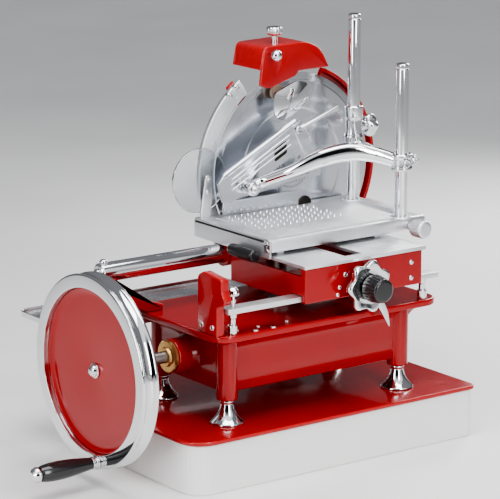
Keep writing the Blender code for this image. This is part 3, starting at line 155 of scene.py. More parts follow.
def frame_of(axis):
    """Two unit directions square to an axis and to each other."""
    axis = np.asarray(axis, float) / np.linalg.norm(axis)
    side = np.cross(axis, [0.0, 0.0, 1.0] if abs(axis[2]) < 0.9 else [1.0, 0.0, 0.0])
    side /= np.linalg.norm(side)
    return axis, side, np.cross(axis, side)


def turned(profile, foot, axis, sides=72, lobes=0, depth=0.0, power=2.0):
    """Spins (radius, distance) points round an axis: point = foot + distance axis +
    radius (cos t side + sin t up). Lobes wave the radius by depth (1 - cos lobes t) / 2,
    most at the rim, where (radius / largest)^power is 1."""
    profile = np.asarray(profile, float)
    axis, side, up = frame_of(axis)
    t = np.linspace(0, 2 * np.pi, sides, endpoint=False)
    radius, along = np.maximum(profile[:, 0], 0.02), profile[:, 1]
    share = (radius / radius.max()) ** power
    waved = radius[:, None] * (1 - depth * share[:, None] * (1 - np.cos(lobes * t)) / 2)
    ring = np.cos(t)[:, None] * side + np.sin(t)[:, None] * up
    points = np.asarray(foot, float) + along[:, None, None] * axis + waved[..., None] * ring[None]
    return stacked(points)


def sweep(path, width, height=None, sides=20, square=1.0, count=64, up=(0, 0, 1), close=True):
    """Carries a section along a smooth path: at angle t it is width |cos t|^square across
    and height |sin t|^square up, and both shrink as a circle does at the two ends."""
    line = through(path, count)
    share = np.linspace(0, 1, count)
    wide = np.interp(share, np.linspace(0, 1, len(np.atleast_1d(width))), np.atleast_1d(width))
    tall = wide if height is None else np.interp(
        share, np.linspace(0, 1, len(np.atleast_1d(height))), np.atleast_1d(height))
    gone = np.concatenate([[0], np.cumsum(np.linalg.norm(np.diff(line, axis=0), axis=1))])
    near = np.minimum(gone, gone[-1] - gone) / np.maximum(np.minimum(wide, tall), 1e-6)
    shrink = np.sqrt(np.clip(1 - (1 - np.clip(near, 0, 1)) ** 2, 0.02, 1)) if close else np.ones(count)
    ahead = np.gradient(line, axis=0)
    ahead /= np.linalg.norm(ahead, axis=1, keepdims=True)
    side = np.cross(ahead, np.asarray(up, float))
    side /= np.linalg.norm(side, axis=1, keepdims=True)
    over = np.cross(side, ahead)
    t = np.linspace(0, 2 * np.pi, sides, endpoint=False)
    c, s = np.sign(np.cos(t)) * np.abs(np.cos(t)) ** square, np.sign(np.sin(t)) * np.abs(np.sin(t)) ** square
    across = side[:, None] * (wide * shrink)[:, None, None] * c[None, :, None]
    upward = over[:, None] * (tall * shrink)[:, None, None] * s[None, :, None]
    return stacked(line[:, None] + across + upward)


def rod(start, end, radius, edge=0.6, sides=40):
    """A straight round bar with a small rolled edge at each end."""
    start, end = np.asarray(start, float), np.asarray(end, float)
    length = np.linalg.norm(end - start)
    line = [(0, 0), (radius, 0), (radius, length), (0, length)]
    return turned(fillet(line, edge, closed=False, steps=3), start, end - start, sides)


def rounded(low, high, radii, steps=8):
    """A rectangle's outline with its own radius at each corner."""
    corners = [(high[0], high[1]), (low[0], high[1]), (low[0], low[1]), (high[0], low[1])]
    return fillet(corners, radii, steps=steps)


print("a test bar has", len(rod((0, 0, 0), (0, 0, 10), 2)[0]), "points")

# %% [markdown]
# ## From arrays to pieces
# One call joins a piece's shapes in one mesh, points its faces outwards, hands it to a body
# and says which CAD nodes it stands for. The wear-and-sheen value travels along as an
# attribute, so a finish can brighten or dull the rolled edges; all finishes here lighten
# them, partly as rub wear and partly as a painted edge highlight.

# %% Making a piece
pieces_made = {}


def make(name, shapes, finish, body, replaces=(), sharp=38.0):
    """Joins shapes, scales them to metres and puts them on a body."""
    points, faces, wear_sheen_values, offset = [], [], [], 0
    for verts, quads, ends, wear_sheen in shapes:
        points.append(verts)
        faces += (quads + offset).tolist() + [[k + offset for k in end] for end in ends]
        wear_sheen_values.append(wear_sheen)
        offset += len(verts)
    mesh = bpy.data.meshes.new(name)
    mesh.from_pydata((np.vstack(points) * MM).tolist(), [], faces)
    # This value marks the rolled edges that every finish lightens: rub wear and a painted edge highlight.
    layer = mesh.attributes.new("wear_sheen", "FLOAT", "POINT")
    layer.data.foreach_set("value", np.concatenate(wear_sheen_values).astype(np.float32))
    builder = bmesh.new()
    builder.from_mesh(mesh)
    bmesh.ops.recalc_face_normals(builder, faces=builder.faces)
    builder.to_mesh(mesh)
    builder.free()
    mesh.polygons.foreach_set("use_smooth", np.ones(len(mesh.polygons), bool))
    mesh.set_sharp_from_angle(angle=np.radians(sharp))
    piece = bpy.data.objects.new(name, mesh)
    bpy.context.scene.collection.objects.link(piece)
    mesh.materials.append(finishes[finish])
    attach(piece, body)
    if replaces:
        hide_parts(*replaces)
    pieces_made[name] = len(mesh.polygons)
    return piece


# %% [markdown]
# ## Finishes
# Ten finishes cover the machine: stove enamel, two steels, chrome, satin aluminium, black
# moulding, clear sheet, grit stone, bronze and oiled chain. Each is one node tree on Object
# coordinates: a broad cloudy noise shifts tone and gloss, a fine stretched one is the grain
# and the wear-and-sheen attribute lightens the rolled edges, as rub wear and as a painted
# edge highlight. Plain flat colours would look like plastic toys.

# %% The node tree all finishes share
finishes = {}


def finish(name, tone, wear_sheen_tone, rough, metal, grain=(900, 900, 900), bump=0.05, cloud=18.0, **extra):
    """colour = mix(tone a, tone b, cloud noise), then towards the lighter edge tone where the
    edge value x patchy noise is high, which paints rub wear and an edge highlight;
    roughness = range(cloud noise); height = grain noise."""
    made = bpy.data.materials.new(name)
    made.use_nodes = True
    nodes, links = made.node_tree.nodes, made.node_tree.links
    shader = nodes["Principled BSDF"]
    shader.inputs["Metallic"].default_value = metal
    for socket, value in extra.items():
        shader.inputs[socket.replace("_", " ")].default_value = value
    place = nodes.new("ShaderNodeTexCoord")
    stretch = nodes.new("ShaderNodeMapping")
    stretch.inputs["Scale"].default_value = grain
    links.new(place.outputs["Object"], stretch.inputs["Vector"])

    def noise(source, scale, detail):
        made_noise = nodes.new("ShaderNodeTexNoise")
        made_noise.inputs["Scale"].default_value = scale
        made_noise.inputs["Detail"].default_value = detail
        links.new(source, made_noise.inputs["Vector"])
        return made_noise.outputs["Fac"]

    broad = noise(place.outputs["Object"], cloud, 3.0)
    fine = noise(stretch.outputs["Vector"], 1.0, 2.0)
    patchy = noise(place.outputs["Object"], 160.0, 2.0)
    tones = nodes.new("ShaderNodeMix")
    tones.data_type = "RGBA"
    tones.inputs[6].default_value = (*tone[0], 1)
    tones.inputs[7].default_value = (*tone[1], 1)
    links.new(broad, tones.inputs[0])
    wear_sheen = nodes.new("ShaderNodeAttribute")
    wear_sheen.attribute_name = "wear_sheen"
    wear_sheen_mask = nodes.new("ShaderNodeMath")
    wear_sheen_mask.operation = "MULTIPLY"
    links.new(wear_sheen.outputs["Fac"], wear_sheen_mask.inputs[0])
    links.new(patchy, wear_sheen_mask.inputs[1])
    # This mix paints the lighter tone on the marked edges: patchy rub wear and a painted edge highlight.
    edges = nodes.new("ShaderNodeMix")
    edges.data_type = "RGBA"
    edges.inputs[7].default_value = (*wear_sheen_tone, 1)
    links.new(wear_sheen_mask.outputs[0], edges.inputs[0])
    links.new(tones.outputs[2], edges.inputs[6])
    links.new(edges.outputs[2], shader.inputs["Base Color"])
    gloss = nodes.new("ShaderNodeMapRange")
    gloss.inputs["From Min"].default_value = 0.35
    gloss.inputs["From Max"].default_value = 0.65
    gloss.inputs["To Min"].default_value = rough[0]
    gloss.inputs["To Max"].default_value = rough[1]
    links.new(broad, gloss.inputs["Value"])
    links.new(gloss.outputs["Result"], shader.inputs["Roughness"])
    relief = nodes.new("ShaderNodeBump")
    relief.inputs["Strength"].default_value = bump
    relief.inputs["Distance"].default_value = 0.0004
    links.new(fine, relief.inputs["Height"])
    links.new(relief.outputs["Normal"], shader.inputs["Normal"])
    finishes[name] = made
    return made


print("shared tree ready")

# %% Enamel, chrome and the other finishes
# The third colour of each finish is its lighter edge tone, used for rub wear and as a painted edge highlight.
finish("red_paint", ((0.30, 0.003, 0.004), (0.36, 0.005, 0.005)), (0.44, 0.02, 0.02), (0.16, 0.24), 0.0,
       grain=(420, 420, 420), bump=0.035, Coat_Weight=0.35, Coat_Roughness=0.04, Specular_IOR_Level=0.3)
finish("chrome", ((0.74, 0.75, 0.77), (0.80, 0.80, 0.81)), (0.86, 0.86, 0.86), (0.035, 0.085), 1.0,
       grain=(260, 260, 260), bump=0.015)
finish("aluminium", ((0.72, 0.73, 0.75), (0.80, 0.81, 0.82)), (0.86, 0.87, 0.88), (0.38, 0.50), 1.0,
       grain=(300, 2600, 2600), bump=0.10)
finish("blade_steel", ((0.60, 0.62, 0.66), (0.68, 0.70, 0.73)), (0.80, 0.81, 0.83), (0.16, 0.24), 1.0,
       grain=(500, 2400, 500), bump=0.05)
finish("tray_steel", ((0.80, 0.81, 0.82), (0.86, 0.86, 0.87)), (0.90, 0.90, 0.90), (0.20, 0.30), 1.0,
       grain=(200, 3000, 3000), bump=0.05)
finish("machined_steel", ((0.30, 0.29, 0.28), (0.42, 0.41, 0.40)), (0.5, 0.5, 0.5), (0.26, 0.42), 1.0,
       grain=(2400, 2400, 300), bump=0.12)
finish("black_plastic", ((0.010, 0.010, 0.011), (0.016, 0.016, 0.017)), (0.05, 0.05, 0.05), (0.14, 0.26), 0.0,
       grain=(700, 700, 700), bump=0.04, Coat_Weight=0.4, Coat_Roughness=0.08)
finish("black_oxide", ((0.020, 0.019, 0.018), (0.045, 0.040, 0.036)), (0.2, 0.2, 0.2), (0.35, 0.55), 0.9,
       grain=(1500, 1500, 1500), bump=0.25)
finish("grey_stone", ((0.30, 0.22, 0.16), (0.42, 0.32, 0.24)), (0.5, 0.4, 0.3), (0.85, 0.97), 0.0,
       grain=(2200, 2200, 2200), bump=0.9, cloud=500.0)
finish("clear_plastic", ((0.90, 0.93, 0.95), (0.94, 0.96, 0.97)), (0.98, 0.99, 1.0), (0.01, 0.05), 0.0,
       grain=(90, 90, 90), bump=0.01, Transmission_Weight=1.0, IOR=1.49)
finish("bronze", ((0.50, 0.30, 0.11), (0.60, 0.38, 0.16)), (0.72, 0.5, 0.25), (0.24, 0.38), 1.0,
       grain=(1800, 1800, 400), bump=0.10)
print("finishes", sorted(finishes))

# %% [markdown]
# A turned blade face shows faint rings round its centre, and a brushed table shows ribs
# along its length. Both are the same idea: a wave texture whose bands follow the cut, added
# to the grain before it becomes relief. Modelling such shallow marks would cost a million
# faces for something that only ever shows in how a highlight breaks up.

# %% Cut marks that follow the tool
def cut_marks(name, kind, scale, strength, place, direction="Y"):
    """height = grain noise + strength x band(distance from the axis, or along one axis)."""
    nodes, links = finishes[name].node_tree.nodes, finishes[name].node_tree.links
    relief = next(n for n in nodes if n.type == "BUMP")
    grain = relief.inputs["Height"].links[0].from_socket
    coords = next(n for n in nodes if n.type == "TEX_COORD")
    shift = nodes.new("ShaderNodeMapping")
    shift.vector_type = "POINT"
    shift.inputs["Location"].default_value = [-v * MM for v in place]
    wave = nodes.new("ShaderNodeTexWave")
    wave.wave_type = kind
    setattr(wave, "rings_direction" if kind == "RINGS" else "bands_direction", direction)
    wave.inputs["Scale"].default_value = scale
    wave.inputs["Distortion"].default_value = 0.4
    both = nodes.new("ShaderNodeMath")
    both.operation = "MULTIPLY_ADD"
    both.inputs[1].default_value = strength
    links.new(coords.outputs["Object"], shift.inputs["Vector"])
    links.new(shift.outputs["Vector"], wave.inputs["Vector"])
    links.new(wave.outputs["Fac"], both.inputs[0])
    links.new(grain, both.inputs[2])
    links.new(both.outputs[0], relief.inputs["Height"])


blade_low, blade_high = span("blade")
BLADE = (blade_low + blade_high) / 2
BLADE[1] = blade_low[1]
cut_marks("blade_steel", "RINGS", 160.0, 0.5, BLADE)
print("blade centre", BLADE.round(1))

# %% [markdown]
# ## Base, feet and body
# The base is a folded steel plate with one big round corner under the wheel. The feet are
# turned bells, wide at the floor. The body is an iron casting whose sides sweep out in a
# cove under the deck, so it is a stack of rounded rectangles that grow along a quarter arc.

# %% Base plate and bell feet
base_low, base_high = span("base_plate")
base_line = rounded(base_low[:2], base_high[:2], [14, 14, 45, 14])
make("plate_skin", [slab(base_line, base_low[2], base_high[2], 1.8)], "red_paint", "frame", ["base_plate"])

for name in ("foot_front_left", "foot_front_right", "foot_rear_left", "foot_rear_right"):
    low, high = span(name)
    middle = (low + high) / 2
    tall, wide = high[2] - low[2], (high[0] - low[0]) / 2
    bell = [(0, 0), (wide, 0), (wide, 2.6), (0.80 * wide, 7), (0.60 * wide, 13), (0.47 * wide, 20),
            (0.40 * wide, 27), (0.37 * wide, 30), (0.44 * wide, 31.5), (0.44 * wide, tall), (0, tall)]
    shape = turned(fillet(bell, 2.2, closed=False), (middle[0], middle[1], low[2]), (0, 0, 1), 64)
    make(name + "_bell", [shape], "chrome", "frame", [name])
print("plate", base_low.round(1), base_high.round(1))

# %% Body casting
body_low, body_high = span("body_casting")
DECK = body_high[2]
OVERHANG, RIGHT_OVERHANG, WALL_BOTTOM, DECK_EDGE, WALL = 28.0, 48.0, 54.0, 10.0, 7.0
DECK_X, DECK_Y = body_high[0] - RIGHT_OVERHANG + OVERHANG, body_high[1]
END_X, SIDE_Y = DECK_X - OVERHANG, DECK_Y - OVERHANG
SHAFT = (span("main_shaft")[0] + span("main_shaft")[1]) / 2


def body_ring(offset, height, right):
    """The casting's plan at one height: a rounded rectangle grown by offset, and by right at
    its right end."""
    half = np.array([END_X, SIDE_Y]) + offset
    line = rounded(-half, (END_X + right, half[1]), [8 + max(offset, 0) * 0.9] * 4, 10)
    return np.column_stack([line, np.full(len(line), height)])


def cove(radius, height):
    """How far a hollow quarter circle that ends under the deck stands out at a height."""
    rise = np.clip(height - (DECK - DECK_EDGE - radius), 0, radius)
    return radius - np.sqrt(radius**2 - rise**2)


small, large = OVERHANG - 3, RIGHT_OVERHANG - 3
profile = [(-WALL, DECK - 8, -WALL), (-WALL, WALL_BOTTOM + 1, -WALL), (-WALL + 1, WALL_BOTTOM, -WALL + 1),
           (-1, WALL_BOTTOM, -1), (0, WALL_BOTTOM + 1, 0)]
for height in DECK - DECK_EDGE - large * (1 - np.sin(np.radians(np.linspace(0, 90, 22)))):
    profile.append((cove(small, height), height, cove(large, height)))
lip = fillet([(0, DECK - DECK_EDGE), (3, DECK - DECK_EDGE), (3, DECK), (-5, DECK)], [0, 2, 3, 0],
             closed=False)[1:]
profile += [(small + out, height, large + out) for out, height in lip]
shell = stacked([body_ring(*row) for row in profile])
corners = []
foot_low, foot_high = span("foot_rear_right")
FOOT_X, FOOT_Y = (foot_low + foot_high)[:2] / 2
for sx in (-1, 1):
    for sy in (-1, 1):
        spot = (sx * FOOT_X, sy * FOOT_Y)
        corners.append(rod((*spot, 42.3), (*spot, DECK - 6), 16, 2.0, 48))
boss = [(14.5, 0), (24, 0), (26, 2), (26, 22), (29, 32), (33, 35), (14.5, 35)]
boss_shape = turned(fillet(boss, 2.0, closed=False), (body_low[0], 0, SHAFT[2]), (1, 0, 0), 64)
make("body_shell", [shell, *corners, boss_shape], "red_paint", "frame", ["body_casting"], 50)
print("deck at", DECK, "overhang to", DECK_X, DECK_Y)


# %% [markdown]
# ## Rails and brackets
# The carriage hangs on a chrome tube at the back and rolls on a flat rail at the front. A
# strut behind the flywheel cradles the tube's left end, a block stands at the front of the
# deck and a plain bracket holds the right end: each is a line with rounded corners, made
# thick. Small screws and posts are turned profiles.

# %% Brackets, slide tube and front rail
tube_low, tube_high = span("slide_tube")
TUBE_Y, TUBE_Z = (tube_low + tube_high)[1:] / 2
TUBE_R = (tube_high[2] - tube_low[2]) / 2
left_low, left_high = span("left_bracket")
top, front, rear = left_high[2], -DECK_Y, left_high[1]
end_block = [(front + 9, DECK + 0.3), (rear, DECK + 0.3), (rear, top - 8), (front + 43, top),
             (front - 3, top - 5),
             (front - 3, top - 24), (front - 11, top - 35), (front - 7, top - 42), (front + 9, DECK + 44)]
block_line = fillet(end_block, [2, 2, 5, 5, 5, 4, 3, 4, 3])
make("left_block", [slab(block_line, left_low[0], left_high[0], 2.2, "YZ")], "red_paint", "frame",
     ["left_bracket"])
arm_low, arm_high = span("tube_arm")
cradle_z, foot_right = arm_high[2], arm_high[0]
strut = [(-DECK_X + 2, DECK + 0.3), (foot_right, DECK + 0.3), (foot_right, DECK + 9.3),
         (-DECK_X + 8, DECK + 16.3),
         (arm_low[0] + 24, cradle_z - 16), (arm_low[0] + 24, cradle_z), (arm_low[0], cradle_z),
         (arm_low[0], cradle_z - 26)]
strut_line = fillet(strut, [2, 3, 3, 12, 8, 2, 2, 10])
make("tube_strut", [slab(strut_line, arm_low[1], arm_high[1], 2.5, "XZ")], "red_paint", "frame", ["tube_arm"])
right_low, right_high = span("right_bracket")
block = rounded(right_low[1:], right_high[1:], [7, 7, 2, 2])
make("right_block", [slab(block, right_low[0], right_high[0], 2.2, "YZ")], "red_paint", "frame",
     ["right_bracket"])

length = tube_high[0] - tube_low[0]
tube_line = [(0, 0), (TUBE_R - 3, 0), (TUBE_R, 3), (TUBE_R, length - 2), (TUBE_R - 2, length), (0, length)]
tube = turned(fillet(tube_line, 1.0, closed=False), (tube_low[0], TUBE_Y, TUBE_Z), (1, 0, 0), 96)
make("tube_skin", [tube], "chrome", "frame", ["slide_tube"])
tip = [(0, 0.3), (7, 0.3), (7, 3), (4, 5), (5, 9), (3.2, 16), (0, 20)]
cap = turned(fillet(tip, 1.2, closed=False), (tube_low[0], TUBE_Y, TUBE_Z), (-1, 0, 0), 48)
make("tube_tip", [cap], "chrome", "frame", ["tube_cap"])

rail_low, rail_high = span("front_rail")
rail_line = rounded(rail_low[:2], rail_high[:2], [3, 3, 3, 3])
make("rail_bar", [slab(rail_line, rail_low[2], rail_high[2], 1.0)], "aluminium", "frame", ["front_rail"])
for name in ("rail_post_left", "rail_post_right"):
    low, high = span(name)
    x, y = (low + high)[:2] / 2
    rise = high[2] - DECK
    line = [(0, 0.3), (7.5, 0.3), (7.5, 13), (5, 15), (5, rise - 9), (6.5, rise - 7), (6.5, rise), (0, rise)]
    post = turned(fillet(line, 0.9, closed=False), (x, y, DECK), (0, 0, 1), 48)
    make(name + "_turned", [post], "chrome", "frame", [name])
stop_low, stop_high = span("stop_pin")
stop_x, stop_y = (stop_low + stop_high)[:2] / 2
top_z = stop_high[2]
pin = [(0, top_z), (5, top_z - 1), (9.5, top_z - 5), (11, top_z - 10), (10, top_z - 13), (3.5, top_z - 14.5),
       (5, top_z - 19), (5, top_z - 23), (3, top_z - 27), (3, stop_low[2]), (0, stop_low[2])]
make("stop_knob", [turned(fillet(pin, 1.6, closed=False), (stop_x, stop_y, 0), (0, 0, 1), 56, 14, 0.06, 6.0)],
     "chrome", "stop_pin", ["stop_pin"])


def screw_head(spot, axis, radius=4.0, height=2.2):
    """A domed screw head: radius falls as cos and height rises as sin along a quarter arc."""
    a = np.radians(np.linspace(0, 80, 7))
    dome = np.column_stack([radius * np.cos(a), height * (0.3 + 0.7 * np.sin(a))])
    line = np.vstack([[[0, 0], [radius, 0]], dome, [[0, height]]])
    return turned(line, spot, axis, 24)


deck_screws = [screw_head((x, -DECK_Y + 8, DECK), (0, 0, 1), 4.5, 2.5) for x in (-128, -96)]
for x in (-150, -112, -60):
    deck_screws.append(screw_head((x, -DECK_Y + 24, DECK), (0, 0, 1), 3.2, 2.0))
bolts = [screw_head((left_low[0] + 0.3, y, DECK + 12), (-1, 0, 0), 4.5, 2.6) for y in (front + 20, rear - 11)]
bolts.append(screw_head((arm_low[0] + 8, TUBE_Y, TUBE_Z + TUBE_R - 0.3), (0, 0, 1), 6.0, 6.0))
make("deck_screws", deck_screws + bolts, "chrome", "frame")
print("rails", rail_low.round(1), rail_high.round(1), "pieces", len(pieces_made))

# %% [markdown]
# ## Flywheel and handle
# The wheel is a heavy chromed ring with a groove in its tread and a red dished disc let into
# it. A turned profile gives both, and the number of sides matters more here than anywhere:
# the eye finds the smallest flat on a bright circle. The handle is a spindle with a loose,
# swelling grip, so the two are separate turned pieces on different bodies.

# %% The wheel
rim_low, rim_high = span("flywheel_rim")
RIM_X = rim_low[0]
WHEEL_R = (rim_high[2] - rim_low[2]) / 2
RIM_W, BAND = rim_high[0] - rim_low[0], 20.5
hollow = WHEEL_R - BAND
rim_line = [(hollow, 0), (WHEEL_R - 2, 0), (WHEEL_R, 1.8), (WHEEL_R - 0.2, 5), (WHEEL_R - 3.4, 7.5),
            (WHEEL_R - 3.8, 15), (WHEEL_R - 2.6, RIM_W - 9), (WHEEL_R, RIM_W - 6), (WHEEL_R, RIM_W - 2),
            (WHEEL_R - 2, RIM_W), (hollow, RIM_W)]
ring = fillet(rim_line, [1.2, 1.2, 1.2, 1.6, 1.6, 2, 1.6, 2, 1.6, 1.4, 1.2])


def hoop(profile, foot, axis, sides=160):
    """Spins a closed (radius, distance) line that never touches the axis, so the two ends of
    the stack meet and need no end faces."""
    verts, quads, ends, wear_sheen = turned(profile, foot, axis, sides)
    n = len(profile)
    here, after = np.arange(sides), (np.arange(sides) + 1) % sides
    last = (n - 1) * sides
    seam = np.stack([last + here, last + after, after, here], -1)
    return verts, np.vstack([quads, seam]), [], wear_sheen


wheel_foot = (RIM_X, 0, SHAFT[2])
make("wheel_ring", [hoop(ring, wheel_foot, (1, 0, 0), 200)], "chrome", "flywheel", ["flywheel_rim"])
edge, face, back = hollow - 0.3, 12.0, 18.0
disc_line = [(9.3, face), (edge - 9, face), (edge - 2, face - 3.2), (edge, face - 3.2), (edge, back + 4),
             (edge - 6, back + 4), (edge - 9, back), (34, back), (26, back + 5), (25, RIM_W + 10),
             (9.3, RIM_W + 10)]
disc = hoop(fillet(disc_line, [0.5, 5, 1, 0.8, 1, 2, 3, 8, 5, 1.5, 0.5]), wheel_foot, (1, 0, 0), 160)
make("wheel_disc", [disc], "red_paint", "flywheel", ["flywheel_disc"])
nut = [(0, face - 10.2), (3.5, face - 9.8), (7.5, face - 7.4), (9.2, face - 3.6), (9.4, face - 2.6),
       (11.4, face - 2.2),
       (11.4, face - 0.2), (0, face - 0.2)]
make("hub_dome", [turned(fillet(nut, 1.3, closed=False), wheel_foot, (1, 0, 0), 64)], "chrome", "flywheel",
     ["hub_nut"])

# %% The handle
grip_low, grip_high = span("handle_grip")
handle_y, handle_z = (grip_low + grip_high)[1:] / 2
handle_foot = (RIM_X, handle_y, handle_z)
post = [(0, 112), (5.5, 111.2), (10, 107.5), (11.8, 103), (11.8, 100.5), (10, 97.9), (4.5, 97.6), (4.5, 11.4),
        (9.6, 11), (9.6, 8), (8.2, 7), (8.2, 4), (11, 3), (11, 0.3), (5, 0.3), (5, -15), (0, -15)]
make("handle_spindle", [turned(fillet(post, 0.8, closed=False), handle_foot, (-1, 0, 0), 56)], "chrome",
     "flywheel", ["handle_post"])
swell = through([(8.8, 12.0), (9.2, 15), (10.4, 24), (12.6, 42), (13.9, 62), (13.7, 80), (12.2, 92),
                 (10.8, 97.3)], 36)
grip = np.vstack([[(4.9, 12.0)], swell, [(4.9, 97.3)]])
make("handle_sleeve", [hoop(grip, handle_foot, (-1, 0, 0), 64)], "black_plastic", "handle", ["handle_grip"])
print("wheel radius", WHEEL_R, "handle at", handle_y.round(1), handle_z.round(1))

# %% [markdown]
# ## Blade, ring guard and chain case
# The blade is a dished steel disc with a ground bevel. Round its free left side stands a
# ring guard, an arc-shaped plate on two lugs. Behind both, a red casting carries the drive
# chain up to the blade shaft and ends in a thin lip that shows as a red line at the right.

# %% Blade and ring guard
BLADE_R, BLADE_T = (blade_high[0] - blade_low[0]) / 2, blade_high[1] - blade_low[1]
blade_line = [(0, 1.2), (30, 1.2), (34, 0.7), (0.62 * BLADE_R, 0.7), (0.645 * BLADE_R, 0.05),
              (BLADE_R - 12, 0.05),
              (BLADE_R - 10.5, 0.35), (BLADE_R, 1.0), (BLADE_R, 1.25), (BLADE_R - 9, BLADE_T), (0, BLADE_T)]
blade = turned(fillet(blade_line, 0.35, closed=False, steps=3), BLADE, (0, 1, 0), 200)
make("blade_disc", [blade], "blade_steel", "blade", ["blade"], 12)
screws = [screw_head((BLADE[0] + 20 * np.cos(a), BLADE[1] + 1.3, BLADE[2] + 20 * np.sin(a)), (0, -1, 0),
                     3.5, 1.0)
          for a in np.radians([45, 165, 285])]
make("blade_screws", screws, "machined_steel", "blade")

guard_low, guard_high = span("ring_guard")
inner_r, outer_r = BLADE_R + 3.5, BLADE_R + 31
centre = (BLADE[0], BLADE[2])
band = np.vstack([arc(centre, outer_r, 124.6, 221.6, 90), arc(centre, inner_r, 221.6, 124.6, 90)])
studs = []
for turn in (129.0, 134.5, 219.0):
    spot = arc(centre, outer_r - 4, turn, turn, 1)[0]
    studs.append(turned(fillet([(0, 0), (5, 0), (5, 5), (3.2, 6), (3.2, 10), (0, 10)], 1, closed=False),
                        (spot[0], guard_low[1] + 3, spot[1]), (0, -1, 0), 32))
for turn in (131.5, 160.0, 190.0, 216.0):
    spot = arc(centre, inner_r + 9, turn, turn, 1)[0]
    studs.append(screw_head((spot[0], guard_low[1] + 0.1, spot[1]), (0, -1, 0), 1.8, 0.8))
make("guard_band", [slab(band, guard_low[1], guard_high[1], 1.6, "XZ")], "aluminium", "frame", ["ring_guard"])
make("guard_studs", studs, "chrome", "frame")
print("blade radius", BLADE_R, "ring", inner_r, outer_r)

# %% Chain case
CASE_Y = BLADE[1] + 10
low_r, high_r = 52.0, 35.0
span_z = BLADE[2] - SHAFT[2]
LIP_R = BLADE_R + 14


def belt(low_radius, high_radius, count=26):
    """Two arcs joined by their common tangents, which lean by arccos of (the difference of
    the radii over the distance of the centres)."""
    lean = np.degrees(np.arccos((low_radius - high_radius) / span_z))
    lower = arc((BLADE[0], SHAFT[2]), low_radius, 90 + lean, 450 - lean, count)
    upper = arc(centre, high_radius, 90 - lean, 90 + lean, count)
    return np.vstack([lower, upper])


case_shape = slab(belt(low_r, high_r), CASE_Y + 1, CASE_Y + 42, 3.0, "XZ")
start, stop = -136.0, 66.0
lip_arc = np.radians(np.linspace(start, stop, 120))
lip_line = fillet([(0, 0), (LIP_R - 6, 0), (LIP_R - 6, -12), (LIP_R, -12), (LIP_R, 7), (0, 7)],
                  [0, 3, 1.5, 2.5, 3, 0], closed=True)
fan = np.stack([BLADE[0] + lip_line[:, :1] * np.cos(lip_arc), CASE_Y + lip_line[:, 1:] + 0 * lip_arc,
                BLADE[2] + lip_line[:, :1] * np.sin(lip_arc)], -1).transpose(1, 0, 2)
lip_shape = stacked(fan)
lugs = []
for turn in (128.5, 222.0):
    bar = slab(rounded((LIP_R * 0.35, -9), (BLADE_R + 30, 9), [5, 3, 3, 5]), CASE_Y - 2.2, CASE_Y + 5.5,
               1.6, "XZ")
    verts = bar[0]
    c, s = np.cos(np.radians(turn)), np.sin(np.radians(turn))
    placed = np.column_stack([BLADE[0] + verts[:, 0] * c - verts[:, 2] * s, verts[:, 1],
                              BLADE[2] + verts[:, 0] * s + verts[:, 2] * c])
    lugs.append((placed, *bar[1:]))
neck_top = DECK - DECK_EDGE - OVERHANG + 1
neck = slab(rounded((BLADE[0] - 42, SHAFT[2] - 36), (BLADE[0] + 34, neck_top), [6] * 4), SIDE_Y + 0.4,
            CASE_Y + 3, 1.5, "XZ")
make("case_casting", [case_shape, lip_shape, *lugs, neck], "red_paint", "frame", ["blade_housing"])
cover_low, cover_high = span("chain_cover")
cover = slab(belt(low_r, high_r), cover_low[1], cover_high[1], 1.6, "XZ")
inner_belt = belt(low_r - 12, high_r - 12)
raised = slab(inner_belt, cover_high[1] - 0.6, cover_high[1] + 1.2, 1.0, "XZ")
spots = [(BLADE[0] + dx, z) for dx, z in ((-34, SHAFT[2] - 30), (34, SHAFT[2] - 30), (-31, SHAFT[2] + 100),
                                          (31, SHAFT[2] + 100), (0, BLADE[2] + 28))]
cover_screws = [screw_head((x, cover_high[1], z), (0, 1, 0), 3.6, 2.0) for x, z in spots]
make("case_cover", [cover, raised], "red_paint", "frame", ["chain_cover"])
make("cover_screws", cover_screws, "chrome", "frame")
print("chain case from", SHAFT[2], "to", BLADE[2])

# %% [markdown]
# ## Sharpener
# A bent sheet cover shades the top of the blade. Under it hang a grinding wheel and a honing
# stone, each on a sprung chrome knob that a thumb can press. The cover is a shell: its line
# is drawn twice, once for the outside and once a wall's thickness in.

# %% Cover, knobs and stones
hood_low, hood_high = span("sharpener_housing")
hood_left, hood_right = BLADE[0] - 79, BLADE[0] + 56
hood_front, hood_rear = hood_low[1], hood_high[1]
hood_top, hood_base = BLADE[2] + BLADE_R + 49, BLADE[2] + BLADE_R - 17
over = [(hood_left, hood_base + 6), (hood_left + 8, hood_top), (hood_left + 92, hood_top + 2),
        (hood_right - 16, hood_top - 12), (hood_right, hood_top - 42), (hood_right - 60, hood_top - 43),
        (hood_right - 64, hood_base + 16), (hood_left + 20, hood_base)]
over_line = fillet(over, [4, 9, 14, 12, 4, 3, 6, 4])
cheek = slab(over_line, hood_front, hood_front + 5, 2.2, "XZ")
roof_line = fillet([(hood_left + 1, hood_base + 30), (hood_left + 8, hood_top),
                    (hood_left + 92, hood_top + 2),
                    (hood_right - 16, hood_top - 12), (hood_right, hood_top - 42),
                    (hood_right - 5, hood_top - 42),
                    (hood_right - 20, hood_top - 16), (hood_left + 91, hood_top - 3),
                    (hood_left + 13, hood_top - 5),
                    (hood_left + 6, hood_base + 31)], [2, 9, 14, 12, 2, 2, 9, 12, 6, 2])
roof = slab(roof_line, hood_front + 1, hood_rear, 1.6, "XZ")
back = slab(fillet([(hood_left + 1, hood_base + 34), (hood_left + 8, hood_top - 0.5),
                    (hood_left + 92, hood_top + 1.5),
                    (hood_right - 16, hood_top - 12.5), (hood_right - 1, hood_top - 41)], [2, 9, 14, 12, 2]),
            hood_rear - 5, hood_rear - 0.5, 1.6, "XZ")
make("sharpener_hood", [cheek, roof, back], "red_paint", "frame", ["sharpener_housing"])

